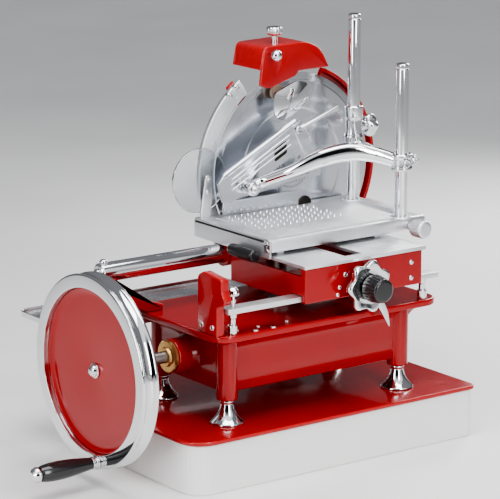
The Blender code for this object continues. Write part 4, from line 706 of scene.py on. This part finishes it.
stone_low, stone_high = span("grinding_stone")
stone_mid = (stone_low + stone_high) / 2
grit = [(0, 0), (17, 0), (17, 12), (0, 12)]
make("grinding_wheel", [turned(fillet(grit, 0.8, closed=False), (stone_mid[0], stone_low[1], stone_mid[2]),
                               (0, 1, 0))],
     "grey_stone", "grinder", ["grinding_stone"])
knob_high = span("grinding_knob")[1][2]
cap_z = knob_high - 6
thumb = [(0, cap_z - 1), (6, cap_z - 0.6), (10.5, cap_z), (12.5, cap_z - 2.5), (12.5, cap_z - 9),
         (10, cap_z - 12.5),
         (5, cap_z - 13.5), (5, stone_high[2] + 0.3), (0, stone_high[2] + 0.3)]
make("grinder_thumb", [turned(fillet(thumb, 1.2, closed=False), (stone_mid[0], stone_mid[1], 0), (0, 0, 1),
                              160, 16, 0.07,
                              6.0)],
     "chrome", "grinder", ["grinding_knob"])
hone_low, hone_high = span("honing_knob")
hone_x, hone_z = (hone_low + hone_high)[[0, 2]] / 2
ball = [(0, 24), (5, 23), (8.5, 19), (9, 15), (7, 10), (4, 8), (4, -8.7), (0, -8.7)]
make("hone_thumb", [turned(fillet(ball, 1.8, closed=False), (hone_x, hood_front, hone_z), (0, -1, 0), 56)],
     "chrome", "honer", ["honing_knob"])
shield = [(hood_left + 25, hood_base - 8), (hood_right - 66, hood_base + 9), (hood_right - 46, hood_base + 4),
          (hood_right - 44, hood_base - 24), (hood_right - 72, hood_base - 44),
          (hood_left + 38, hood_base - 52),
          (hood_left + 26, hood_base - 42)]
shield_low, shield_high = span("stone_cover")
shield_line = fillet(shield, [7, 8, 5, 10, 14, 9, 8])
DOME_RISE = 5.0
shrink = 1 - np.linspace(0, 0.92, 9)[:, None, None]
middle = shield_line.mean(0)
drawn = middle + (shield_line - middle) * shrink
bulge = shield_low[1] - DOME_RISE * (1 - shrink[:, 0, 0] ** 2)
face = np.stack([drawn[..., 0], np.repeat(bulge[:, None], len(shield_line), 1), drawn[..., 1]], -1)
back_ring = np.column_stack([shield_line[:, 0], np.full(len(shield_line), shield_high[1]), shield_line[:, 1]])
shield_screw = screw_head((BLADE[0] - 22, shield_low[1] - 1.5, BLADE[2] + BLADE_R - 22), (0, -1, 0), 3.4, 1.8)
make("stone_shield", [stacked(np.concatenate([back_ring[None], face])), shield_screw], "chrome", "frame",
     ["stone_cover"])
print("hood", hood_left, "to", hood_right, "top", hood_top)

# %% [markdown]
# ## Carriage and feed
# The carriage box is a plain casting with a flat aluminium top that is planed in long
# grooves. On its front sit the feed handwheel, seven-lobed so that fingers find a hold, a
# fluted black knob on the same screw, and the tapered lever that engages the feed.

# %% Carriage top and front screws
plate_low, plate_high = span("carriage_plate")
box_low, box_high = span("carriage_body")
BOX_FRONT = box_low[1]
slot_left, slot_right = 36.0, 68.0


def ribbed(low, high, pitch, depth, along="X", edge=0.8):
    """A plate whose top is ribbed: across the ribs the height is
    high - depth (1 - |cos(pi v / pitch)|^0.35), closed below by a flat bottom."""
    low, high = np.asarray(low, float), np.asarray(high, float)
    cross = 1 if along == "X" else 0
    v = np.arange(low[cross] + edge, high[cross] - edge, pitch / 8)
    wave = np.abs(np.cos(np.pi * (v - v[0]) / pitch)) ** 0.35
    top_line = np.column_stack([v, high[2] - depth * (1 - wave)])
    line = np.vstack([[(low[cross], low[2])], [(high[cross], low[2])], [(high[cross], high[2] - edge)],
                      top_line[::-1], [(low[cross], high[2] - edge)]])
    return slab(line, low[1 - cross], high[1 - cross], 0.3, "YZ" if along == "X" else "XZ", 1)


panels = [ribbed((plate_low[0], plate_low[1], plate_low[2]), (slot_left, plate_high[1], plate_high[2]), 7.5,
                 0.7),
          ribbed((slot_right, plate_low[1], plate_low[2]), (plate_high[0], plate_high[1], plate_high[2]),
                 7.5, 0.7),
          ribbed((slot_left - 0.5, plate_low[1], plate_low[2]),
                 (slot_right + 0.5, plate_low[1] + 22, plate_high[2]), 7.5, 0.7)]
make("carriage_top", panels, "aluminium", "carriage", ["carriage_plate"])
front_screws = [screw_head((x, BOX_FRONT + 0.1, z), (0, -1, 0), r, 2.0)
                for x, z, r in ((24, 211, 4.0), (13, 193, 3.2), (10, 182, 3.2), (150, 212, 4.0),
                                (150, 188, 4.0))]
make("carriage_screws", front_screws, "chrome", "carriage")

# %% Handwheel, knob and lever
FEED_X, FEED_Z = 52.0, 192.5
wheel_back = span("feed_handwheel")[1][1]
HAND_R = 41.0
lobe_line = [(0, 15.2), (8, 15.2), (13, 15), (15, 13.5), (26, 13.2), (31, 14.3), (HAND_R - 5, 15),
             (HAND_R - 1, 13), (HAND_R, 9.5),
             (HAND_R - 1, 6), (HAND_R - 5, 3.8), (20, 4.2), (15, 2.5), (15, 0.3), (5.3, 0.3)]
wheel_shape = turned(fillet([(5.3, 15.2)] + lobe_line[1:], 1.6, closed=False),
                     (FEED_X, wheel_back + 0.3, FEED_Z),
                     (0, -1, 0), 168, 7, 0.18, 3.0)
make("feed_wheel", [wheel_shape], "chrome", "feed_screw", ["feed_handwheel"])
knob_low, knob_high = span("feed_knob")
KNOB_R = 21.0
deep = knob_high[1] - knob_low[1]
knob_line = [(0, deep), (KNOB_R * 0.70, deep), (KNOB_R * 0.86, deep - 2.5), (KNOB_R, 9), (KNOB_R, 3),
             (KNOB_R - 2.5, 0),
             (0, 0)]
make("feed_button", [turned(fillet(knob_line, 1.6, closed=False), (FEED_X, knob_high[1], FEED_Z),
                            (0, -1, 0), 192, 24,
                            0.05, 4.0)], "black_plastic", "feed_screw", ["feed_knob"])
lever_low, lever_high = span("feed_lever")
blade_points = [(9, -14), (34, -46), (47, -69), (49, -71), (50, -68), (46, -44), (22, -4)]
lever_line = fillet([(FEED_X + x, FEED_Z + z) for x, z in blade_points], [2, 14, 4, 1.5, 4, 14, 2])
eye = turned(fillet([(6.2, 0), (19, 0), (19, 3.6), (6.2, 3.6)], 0.7, closed=False),
             (FEED_X, lever_high[1] - 0.2, FEED_Z),
             (0, -1, 0), 72)
make("feed_pointer", [slab(lever_line, lever_low[1] + 0.2, lever_high[1] - 0.2, 1.2, "XZ"), eye], "chrome",
     "feed_lever", ["feed_lever"])
print("feed wheel radius", HAND_R, "knob", KNOB_R)

# %% [markdown]
# ## Table, posts and guard
# The meat table is a thick aluminium plate with a rounded bar along its front, a ribbed bed
# and rows of small spikes that stop the meat from turning. Spikes and comb teeth repeat, so
# each is only a few faces. Two bright posts rise from it for the clamp to slide on.

# %% Meat table
TABLE_TOP = span("rear_post")[0][2] + 13.7
table_low, table_high = span("meat_table")
TABLE_LEFT, TABLE_RIGHT = -58.0, table_high[0]
TABLE_FRONT, TABLE_REAR = table_low[1], table_high[1]
TABLE_Z = TABLE_TOP - 20
edge_line = fillet([(TABLE_FRONT, TABLE_Z + 1), (TABLE_REAR, TABLE_Z), (TABLE_REAR, TABLE_TOP),
                    (TABLE_FRONT + 13, TABLE_TOP),
                    (TABLE_FRONT + 12, TABLE_TOP + 1.4), (TABLE_FRONT, TABLE_TOP + 1.4)],
                   [5, 1.5, 1.5, 1, 3, 7])
bed = slab(edge_line, TABLE_LEFT, TABLE_RIGHT, 1.4, "YZ")
flange = slab(rounded((TABLE_LEFT - 2, TABLE_FRONT + 2), (TABLE_LEFT + 15, TABLE_REAR - 2), [3, 3, 3, 3]),
              TABLE_TOP - 6, TABLE_TOP + 1.6, 1.2)
skirt = slab(rounded((TABLE_FRONT + 2, TABLE_Z - 8), (TABLE_REAR - 2, TABLE_TOP - 1), [2] * 4),
             TABLE_LEFT - 2,
             TABLE_LEFT + 1.5, 0.8, "YZ")
bed_ribs = ribbed((TABLE_LEFT + 24, TABLE_FRONT + 18, TABLE_TOP - 2),
                  (TABLE_RIGHT - 34, TABLE_REAR - 22, TABLE_TOP + 0.9),
                  5.0, 0.5)
kerb_line = fillet([(TABLE_RIGHT - 26, TABLE_FRONT + 45), (TABLE_RIGHT - 0.6, TABLE_FRONT + 45),
                    (TABLE_RIGHT - 0.6, TABLE_REAR - 58), (TABLE_RIGHT - 17, TABLE_REAR - 58)], 3)
kerb = slab(kerb_line, TABLE_TOP - 2, TABLE_TOP + 4.5, 1.0)
collars = [turned(fillet([(10.3, -1), (17, -1), (17, 1.6), (15.5, 2.8), (10.3, 2.8)], 0.6, closed=False),
                  (x, y, TABLE_TOP),
                  (0, 0, 1), 56) for x, y in ((220, TABLE_REAR - 40), (200, TABLE_FRONT + 15))]
runners = [slab(rounded((x, TABLE_FRONT + 12), (x + 12, 52), [1] * 4), plate_high[2] + 0.3, TABLE_Z + 2, 0.5)
           for x in (-38, 147)]
nut_block = slab(rounded((40.2, 38.5), (63.8, 49.8), [1.5] * 4), 181, TABLE_Z + 3, 0.8)
make("table_bed", [bed, flange, skirt, bed_ribs, kerb, *collars, *runners, nut_block], "aluminium", "table",
     ["meat_table"], 30)

spikes = []
for row, y in enumerate(np.arange(TABLE_FRONT + 78, TABLE_REAR - 22, 17.0)):
    for x in np.arange(TABLE_LEFT + 34 + 6 * (row % 2), TABLE_LEFT + 196, 12.0):
        spikes.append(turned([(0, 0), (1.5, 0), (1.0, 1.6), (0.2, 4.2)], (x, y, TABLE_TOP + 0.3), (0, 0, 1),
                             8))
make("table_spikes", spikes, "blade_steel", "table")
front_strip = slab(rounded((TABLE_FRONT - 0.6, TABLE_Z + 1), (TABLE_FRONT + 15, TABLE_TOP + 1), [4, 2, 2, 4]),
                   TABLE_LEFT - 3.6, TABLE_LEFT - 0.5, 1.0, "YZ")
end_screws = [screw_head((TABLE_LEFT - 3.4, TABLE_FRONT + 7, z), (-1, 0, 0), 2.6,
                         1.4) for z in (TABLE_Z + 5, TABLE_Z + 15)]
make("table_end_plate", [front_strip, *end_screws], "chrome", "table")

comb_low, comb_high = span("table_comb")
teeth = 36
pitch = (comb_high[0] - comb_low[0]) / teeth
k = np.arange(2 * teeth + 1)
tooth_tops = np.column_stack([comb_low[0] + k * pitch / 2, comb_high[2] - 3.2 * (k % 2 == 0)])
comb_line = np.vstack([[(comb_high[0], comb_low[2]), (comb_low[0], comb_low[2])], tooth_tops])
make("comb_plate", [slab(comb_line, comb_low[1], comb_high[1], 0.3, "XZ", 1)], "blade_steel", "table",
     ["table_comb"])
# The black half disc at the comb's right end is a painted shadow of the recess where the table knob sits, not
# a part.
arch = fillet(arc((comb_high[0] + 13, comb_low[2]), 13, 0, 180, 20), 0.2)
make("knob_recess_shadow", [slab(arch, comb_low[1], comb_high[1], 0.6, "XZ")], "black_oxide", "table")

for name in ("rear_post", "front_post"):
    low, high = span(name)
    x, y = (low + high)[:2] / 2
    r = (high[0] - low[0]) / 2
    bar = [(0, low[2]), (r, low[2]), (r, high[2] - 9), (r - 0.7, high[2] - 8.2), (r - 0.7, high[2] - 7.4),
           (r, high[2] - 6.6),
           (r, high[2] - 1.6), (r - 2.2, high[2]), (0, high[2])]
    make(name + "_bar", [turned(fillet(bar, 0.5, closed=False), (x, y, 0), (0, 0, 1), 80)], "chrome", "table",
         [name])
print("table", TABLE_LEFT, TABLE_RIGHT, "spikes", len(spikes))

# %% Table knobs and hand guard
lock_low, lock_high = span("table_knob")
lock_x, lock_z = (lock_low + lock_high)[[0, 2]] / 2
lock = [(0, 36), (10, 36), (13, 34.8), (14, 32), (14, 14), (12.5, 11), (7, 10.4), (7, 0.3), (0, 0.3)]
make("lock_knob", [turned(fillet(lock, 1.2, closed=False), (lock_x, lock_high[1], lock_z), (0, -1, 0), 144,
                          36, 0.03, 8.0)],
     "aluminium", "table_knob", ["table_knob"])
grab_low, grab_high = span("table_grip")
grab_x, grab_z = grab_low[0] + 10.5, (grab_low + grab_high)[2] / 2
grab = [(0, 62), (8.5, 62), (10, 59), (10.5, 30), (9, 3), (7.5, 0.3), (0, 0.3)]
stem = rod((grab_x, grab_high[1] - 18, grab_z + 1), (grab_high[0], grab_high[1] - 18, grab_z + 1), 4)
make("table_grab", [turned(fillet(grab, 2, closed=False), (grab_x, grab_high[1], grab_z), (0, -1, 0), 56),
                    stem],
     "black_plastic", "table", ["table_grip"])
pane_low, pane_high = span("hand_guard")
pane_mid = (pane_low + pane_high) / 2
pane_r = (pane_high[0] - pane_low[0]) / 2
pane = [(0, 0), (pane_r, 0), (pane_r, 2.5), (0, 2.5)]
pane_foot = (pane_mid[0], pane_low[1], pane_mid[2])
make("guard_pane", [turned(fillet(pane, 0.5, closed=False), pane_foot, (0, 1, 0), 120)], "clear_plastic",
     "table",
     ["hand_guard"])
bead = [(pane_r - 1.2, -0.5), (pane_r + 0.5, -0.5), (pane_r + 0.5, 3.0), (pane_r - 1.2, 3.0)]
make("guard_bead", [hoop(fillet(bead, 0.6), pane_foot, (0, 1, 0), 120)], "chrome", "table")
arm_low, arm_high = span("hand_guard_bracket")
x, z = pane_mid[0], pane_mid[2]
arm_line = fillet([(TABLE_LEFT + 24, arm_low[2]), (x + 21, z - 14), (x + 19, z + 6), (x + 9, z + 8),
                   (TABLE_LEFT + 6, arm_low[2] + 12), (TABLE_LEFT + 6, arm_low[2])], [3, 12, 5, 5, 6, 3])
guard_screws = [screw_head((x + dx, arm_low[1] + 0.1, z + dz), (0, -1, 0), 3.0, 1.6) for dx,
                dz in ((14, 0), (11, -18))]
make("guard_arm", [slab(arm_line, arm_low[1], arm_high[1], 1.2, "XZ"), *guard_screws], "aluminium", "table",
     ["hand_guard_bracket"])
print("guard pane radius", pane_r)

# %% [markdown]
# ## Clamp and pressing plate
# The clamp is one polished casting: a collar on the front post, a tall carrier on the rear
# post, a bridge between them and a broad arm that sweeps down to the pivot. The arm is a
# flattened section carried along a curve, widest at the shoulder. The pressing plate leans
# on that pivot: a sheet with a rolled top, pierced ribs and two rows of teeth below.

# %% Clamp
CLAMP_Z = TABLE_TOP + 74
clamp_low, clamp_high = span("clamp_arm")
FRONT_XY, REAR_XY = np.array([200, TABLE_FRONT + 15]), np.array([220, TABLE_REAR - 40])
collar_line = [(10.5, 0), (15.5, 0), (17, 1.5), (17, 5), (15.8, 7), (15.8, 19), (17, 21), (17, 24.5),
               (15.5, 26), (10.5, 26)]
collar = hoop(fillet(collar_line, 0.7), (*FRONT_XY, CLAMP_Z), (0, 0, 1), 72)
carrier_line = [(10.5, 0), (14.5, 0), (16, 1.5), (16, 30), (14.2, 34), (13.4, 56), (14.5, 60), (15, 76),
                (13.5, 78), (10.5, 78)]
carrier = hoop(fillet(carrier_line, 1.0), (*REAR_XY, CLAMP_Z), (0, 0, 1), 72)
bridge_path = [(*(FRONT_XY + (0, 8)), CLAMP_Z + 13), (FRONT_XY[0] + 5, 30, CLAMP_Z + 16),
               (*(REAR_XY - (0, 8)), CLAMP_Z + 15)]
bridge_bar = sweep(bridge_path, [6.5, 7.5, 7.5], [10, 8.5, 11], 28, 0.7, close=False)
PIVOT = np.array([12, BLADE[1] - 56, TABLE_TOP + 46])
arm_path = [(FRONT_XY[0] - 8, FRONT_XY[1] + 2, CLAMP_Z + 13),
            (FRONT_XY[0] - 40, FRONT_XY[1] + 18, CLAMP_Z + 25),
            (FRONT_XY[0] - 72, FRONT_XY[1] + 38, CLAMP_Z + 30),
            (FRONT_XY[0] - 106, FRONT_XY[1] + 62, CLAMP_Z + 21),
            (FRONT_XY[0] - 140, FRONT_XY[1] + 90, CLAMP_Z + 1), (PIVOT[0] + 22, PIVOT[1] - 5, PIVOT[2] + 10),
            (PIVOT[0] + 4, PIVOT[1], PIVOT[2] + 1)]
arm_bar = sweep(arm_path, [7.5, 8, 11, 12.5, 10, 8.5, 8], [10, 11, 14.5, 14, 10, 9, 9], 36, 0.75, 110)
pivot_line = [(0, 0), (9.5, 0), (11, 1.5), (11, 18), (9.5, 19.6), (0, 19.6)]
pivot_boss = turned(fillet(pivot_line, 1.0, closed=False), (PIVOT[0], PIVOT[1] - 10, PIVOT[2]), (0, 1, 0), 56)
screw_z = CLAMP_Z + 44
nose_line = [(0, -2), (9, -2), (9, 10), (7.5, 12), (7.5, 14), (0, 14)]
nose = turned(fillet(nose_line, 0.8, closed=False), (REAR_XY[0] + 8, REAR_XY[1], screw_z), (1, 0, 0), 48)
wing = turned(fillet([(0, 0), (5, 0), (5, 3), (3, 4), (3, 8), (8.5, 9), (8.5, 12), (0, 12)], 0.8,
                     closed=False),
               (FRONT_XY[0] + 15.5, FRONT_XY[1], CLAMP_Z + 13), (1, 0, 0), 40, 3, 0.2, 4.0)
cap_screw = turned(fillet([(0, 0), (6.5, 0), (6.5, 2.4), (5, 3), (3, 2.2), (0, 2.2)], 0.5, closed=False),
                   (FRONT_XY[0] - 3, FRONT_XY[1] - 16.4, CLAMP_Z + 13), (0, -1, 0), 40)
make("clamp_casting", [collar, carrier, bridge_bar, arm_bar, pivot_boss, nose, wing, cap_screw], "chrome",
     "clamp", ["clamp_arm"])
star_x = span("clamp_knob")[1][0] - 15
star = [(0, -11), (4, -11), (4, -3), (9, -3), (15, -1), (18.5, 3), (19, 8), (18, 13), (14.5, 16.5), (8, 17),
        (0, 15.5)]
make("clamp_star", [turned(fillet(star, 1.6, closed=False), (star_x, REAR_XY[1], screw_z), (1, 0, 0), 120,
                           5, 0.30, 3.0)],
     "chrome", "clamp_knob", ["clamp_knob"])
print("clamp from", clamp_low.round(1), "to", clamp_high.round(1))

# %% Pressing plate and stay rod
PRESS_Y = PIVOT[1] + 10.4
FOOT = np.array([PIVOT[0] - 26, PIVOT[2] - 22])
RUN, RISE = 150.0, 78.0
LENGTH = np.hypot(RUN, RISE)
ALONG = np.array([RUN, RISE]) / LENGTH
ACROSS = np.array([-ALONG[1], ALONG[0]])


def leaning(line, low, high, edge=0.8, steps=3):
    """A slab drawn in the plate's own frame, where a runs up its slope and b across it:
    point = foot + a along + b across."""
    line = np.asarray(line, float)
    return slab(FOOT + line[:, :1] * ALONG + line[:, 1:] * ACROSS, low, high, edge, "XZ", steps)


def teeth_line(start, stop, base, tip, count):
    """Points along a slope that alternate between two heights, once for each tooth."""
    a = np.linspace(start, stop, 2 * count + 1)
    return np.column_stack([a, np.where(np.arange(len(a)) % 2, tip, base)])


sheet_line = np.vstack([[(-10, 42), (-16, 12)], teeth_line(-2, LENGTH, 3.5, 0, 30),
                        [(LENGTH, 42), (LENGTH - 8, 47), (4, 47)]])
sheet = leaning(sheet_line, PRESS_Y, PRESS_Y + 3.5, 0.4, 1)
second = leaning(np.vstack([[(2, 12)], teeth_line(2, LENGTH - 4, 6.5, 2.5, 26), [(LENGTH - 4, 12)]]),
                 PRESS_Y + 2, PRESS_Y + 16,
                 0.3, 1)
JAW_RISE = 0.115
jaw = np.vstack([[(178, 17), (2, 17)], teeth_line(2, 178, 3, 0, 34)])
jaw[:, 1] += jaw[:, 0] * JAW_RISE
jaw_bar = slab(FOOT + jaw, PRESS_Y + 12.5, PRESS_Y + 15.5, 0.3, "XZ", 1)
upper = np.vstack([[(150, 12.5), (34, 12.5)], teeth_line(34, 150, 9, 5.5, 22)])
upper[:, 1] += upper[:, 0] * JAW_RISE
upper_bar = slab(FOOT + upper, PRESS_Y + 3, PRESS_Y + 12.8, 0.3, "XZ", 1)
top_path = [(*(FOOT + a * ALONG + 46 * ACROSS), PRESS_Y + 2.5) for a in (2, LENGTH / 3, 2 * LENGTH / 3,
                                                                         LENGTH - 6)]
top_roll = sweep([(p[0], p[2], p[1]) for p in top_path], 4.5, None, 24, 1.0, 40)
ribs = [leaning(fillet([(8, b), (LENGTH - 34, b), (LENGTH - 34, b + 3), (8, b + 3)], 1.4), PRESS_Y - 1.8,
                PRESS_Y + 1, 0.7)
        for b in (18, 26)]
frame_bar = leaning(fillet([(14, 32), (LENGTH - 30, 32), (LENGTH - 30, 36), (14, 36)], 1.8), PRESS_Y - 2.6,
                    PRESS_Y + 1, 0.9)
end_teeth = np.column_stack([np.where(np.arange(17) % 2, 3.5, 0.0) + LENGTH - 2, np.linspace(42, 2, 17)])
end_line = np.vstack([[(LENGTH - 20, 2), (LENGTH - 20, 44)], end_teeth])
end_bracket = leaning(end_line[::-1], PRESS_Y - 2.2, PRESS_Y + 1, 0.4, 1)
make("press_plate", [sheet, second, jaw_bar, upper_bar, top_roll, *ribs, frame_bar, end_bracket],
     "blade_steel", "presser",
     ["presser_plate"], 28)
window = leaning(fillet([(96, 12.5), (122, 12.5), (130, 31), (104, 31)], 3), PRESS_Y - 0.6, PRESS_Y + 0.2,
                 0.1)
make("press_window", [window], "black_oxide", "presser")
foot_hub = turned(fillet([(0, 0), (7, 0), (7, 3), (4.5, 4), (4.5, 7), (0, 7)], 0.8, closed=False),
                  (PIVOT[0], PIVOT[1] - 10.4, PIVOT[2]), (0, -1, 0), 40)
make("pivot_nut", [foot_hub], "chrome", "clamp")
STAY_Y = PRESS_Y - 3.3
stay_start = FOOT + (LENGTH - 14) * ALONG + 34 * ACROSS
stay_end = (REAR_XY[0] - 34, screw_z + 36)
stay = rod((stay_start[0], STAY_Y, stay_start[1]), (stay_end[0], STAY_Y, stay_end[1]), 3, 0.8)
eye_line = [(0, 0), (5, 0), (6, 1), (6, 6), (5, 6.7), (0, 6.7)]
stay_eye = turned(fillet(eye_line, 0.6, closed=False), (stay_start[0], PRESS_Y - 7, stay_start[1]),
                  (0, 1, 0), 40)
make("stay_rod", [stay, stay_eye], "chrome", "presser", ["link_rod"])
print("plate length", round(LENGTH, 1))

# %% [markdown]
# ## Receiving tray and what stays from the CAD
# The tray is thin stainless sheet with a rolled rim. The parts inside the machine, such as
# gears, shafts and chain, are already right in the CAD model, so they keep their own meshes
# and only take a finish from the same table.

# %% Tray
tray_low, tray_high = span("receiving_tray")
front_edge = SIDE_Y + 9
tray_corner = (tray_low[0], front_edge)
tray_line = rounded(tray_corner, tray_high[:2], [20, 20, 20, 4])
rim_top = tray_high[2]
dish = [(0.0, rim_top - 8), (0.0, rim_top - 0.6), (0.6, rim_top), (1.9, rim_top), (2.4, rim_top - 0.6),
        (3.4, rim_top - 4.5),
        (6.5, rim_top - 5.8), (12, rim_top - 6)]
tray_shell = stacked([np.column_stack([inset(tray_line, d), np.full(len(tray_line), z)]) for d, z in dish])
tab_x = -END_X / 2
pad = slab(rounded((tab_x - 45, rim_top - 48), (tab_x + 45, rim_top - 26), [3] * 4), SIDE_Y + 0.4,
           SIDE_Y + 5, 1.0, "XZ")
tab = slab(rounded((tab_x - 40, rim_top - 28), (tab_x + 40, rim_top - 12), [3] * 4), SIDE_Y + 2.6,
           SIDE_Y + 4.6, 0.5, "XZ")
shelf = slab(rounded((tab_x - 35, SIDE_Y + 2.6), (tab_x + 35, front_edge + 6), [1] * 4), rim_top - 13.5,
             rim_top - 8.2, 0.5)
make("tray_sheet", [tray_shell, pad, tab, shelf], "tray_steel", "tray", ["receiving_tray"])
print("tray", tray_low.round(1), tray_high.round(1))

# %% Finishes for the nodes that stay
slot_of = {row["node"]: row["material_slot"] for row in frame["record"]["subparts"]}
kept = []
for name, node in frame["nodes"].items():
    if not node.hide_render:
        node.data.materials.clear()
        node.data.materials.append(finishes[slot_of[name]])
        kept.append(name)
print("kept from the CAD:", sorted(kept))

# %% [markdown]
# ## Stage, light and camera
# Chrome only looks like chrome when it has something dark to reflect beside something
# bright. The world is therefore a pale grey with one dark stretch on the side that the
# front faces and bright stretches beside it, under one large lamp and three smaller ones.
# The wheel hangs lower than the base plate, so the machine stands on a plain block.

# %% Floor and block
FLOOR_Z = -0.075
stage_paint = finish("studio_floor", ((0.80, 0.80, 0.79), (0.84, 0.84, 0.83)), (0.8, 0.8, 0.8), (0.5, 0.65),
                     0.0,
                         grain=(60, 60, 60), bump=0.01, cloud=3.0)
floor_mesh = bpy.data.meshes.new("floor")
u, v = np.meshgrid(np.linspace(-6, 6, 13), np.linspace(-6, 12, 19))
spots = np.column_stack([u.ravel(), v.ravel(), np.full(u.size, FLOOR_Z)])
i = np.arange(18)[:, None] * 13 + np.arange(12)[None]
floor_mesh.from_pydata(spots.tolist(), [], np.stack([i, i + 1, i + 14, i + 13], -1).reshape(-1, 4).tolist())
floor = bpy.data.objects.new("floor", floor_mesh)
block_mesh = bpy.data.meshes.new("block")
block_line = rounded(base_low[:2] + 4, base_high[:2] - 4, [12, 12, 40, 12])
verts, quads, ends = slab(block_line, FLOOR_Z / MM, -0.4, 2.0)[:3]
block_mesh.from_pydata((verts * MM).tolist(), [], quads.tolist() + ends)
block = bpy.data.objects.new("block", block_mesh)
for thing in (floor, block):
    bpy.context.scene.collection.objects.link(thing)
    thing.data.materials.append(stage_paint)

# %% World and lamps
world = bpy.data.worlds.new("studio")
bpy.context.scene.world = world
world.use_nodes = True
nodes, links = world.node_tree.nodes, world.node_tree.links
sky = nodes.new("ShaderNodeTexCoord")
split = nodes.new("ShaderNodeSeparateXYZ")
ramp = nodes.new("ShaderNodeValToRGB")
ramp.color_ramp.elements[0].position = 0.0
ramp.color_ramp.elements[0].color = (0.50, 0.50, 0.50, 1)
ramp.color_ramp.elements[1].position = 1.0
ramp.color_ramp.elements[1].color = (0.90, 0.92, 0.95, 1)
for position, tone in ((0.02, 0.30), (0.20, 0.50), (0.45, 0.80)):
    stop = ramp.color_ramp.elements.new(position)
    stop.color = (tone, tone, tone * 1.03, 1)
links.new(sky.outputs["Generated"], split.inputs[0])
links.new(split.outputs["Z"], ramp.inputs[0])
toward = nodes.new("ShaderNodeVectorMath")
toward.operation = "DOT_PRODUCT"
toward.inputs[1].default_value = (-0.59, -0.81, 0.0)
band = nodes.new("ShaderNodeValToRGB")
band.color_ramp.elements[0].position = 0.0
band.color_ramp.elements[0].color = (0.30, 0.30, 0.31, 1)
band.color_ramp.elements[1].position = 1.0
band.color_ramp.elements[1].color = (0.02, 0.02, 0.02, 1)
for position, tone in ((0.15, 0.25), (0.30, 1.30), (0.74, 1.40), (0.86, 0.04)):
    stop = band.color_ramp.elements.new(position)
    stop.color = (tone, tone, tone, 1)
blend = nodes.new("ShaderNodeMix")
blend.data_type = "RGBA"
blend.blend_type = "MULTIPLY"
blend.inputs[0].default_value = 1.0
links.new(sky.outputs["Generated"], toward.inputs[0])
links.new(toward.outputs["Value"], band.inputs[0])
links.new(ramp.outputs["Color"], blend.inputs[6])
links.new(band.outputs["Color"], blend.inputs[7])
links.new(blend.outputs[2], nodes["Background"].inputs["Color"])
nodes["Background"].inputs["Strength"].default_value = 0.9


def lamp(name, place, target, size, power, tone=(1, 1, 1)):
    """A rectangular area lamp that faces its target."""
    data = bpy.data.lights.new(name, "AREA")
    data.shape = "RECTANGLE"
    data.size, data.size_y = size
    data.energy = power
    data.color = tone
    thing = bpy.data.objects.new(name, data)
    thing.location = place
    thing.rotation_euler = (Vector(target) - Vector(place)).to_track_quat("-Z", "Y").to_euler()
    bpy.context.scene.collection.objects.link(thing)
    return thing


aim = (0.0, 0.0, 0.22)
lamp("overhead", (-0.1, -0.3, 1.9), aim, (1.6, 1.2), 32)
lamp("front_strip", (-0.1, -2.1, 0.9), aim, (0.5, 1.4), 22)
lamp("left_strip", (-2.2, -0.6, 0.8), aim, (0.5, 1.4), 20)
lamp("right_back", (1.7, 0.9, 1.1), aim, (0.6, 1.3), 22)

# %% Camera
turn, dip = np.radians(36.2), np.radians(13.2)
ahead = Vector((np.sin(turn) * np.cos(dip), np.cos(turn) * np.cos(dip), -np.sin(dip)))
camera = bpy.data.objects.new("camera", bpy.data.cameras.new("camera"))
camera.data.lens = 187.2
camera.data.sensor_width = 36.0
camera.location = (-2.288, -3.048, 1.122)
camera.rotation_euler = ahead.to_track_quat("-Z", "Y").to_euler()
bpy.context.scene.collection.objects.link(camera)
bpy.context.scene.camera = camera
bpy.context.scene.view_settings.view_transform = "AgX"
bpy.context.scene.view_settings.look = "AgX - Medium High Contrast"

# %% Count the faces and finish
print("faces", sum(pieces_made.values()), "in", len(pieces_made), "pieces")
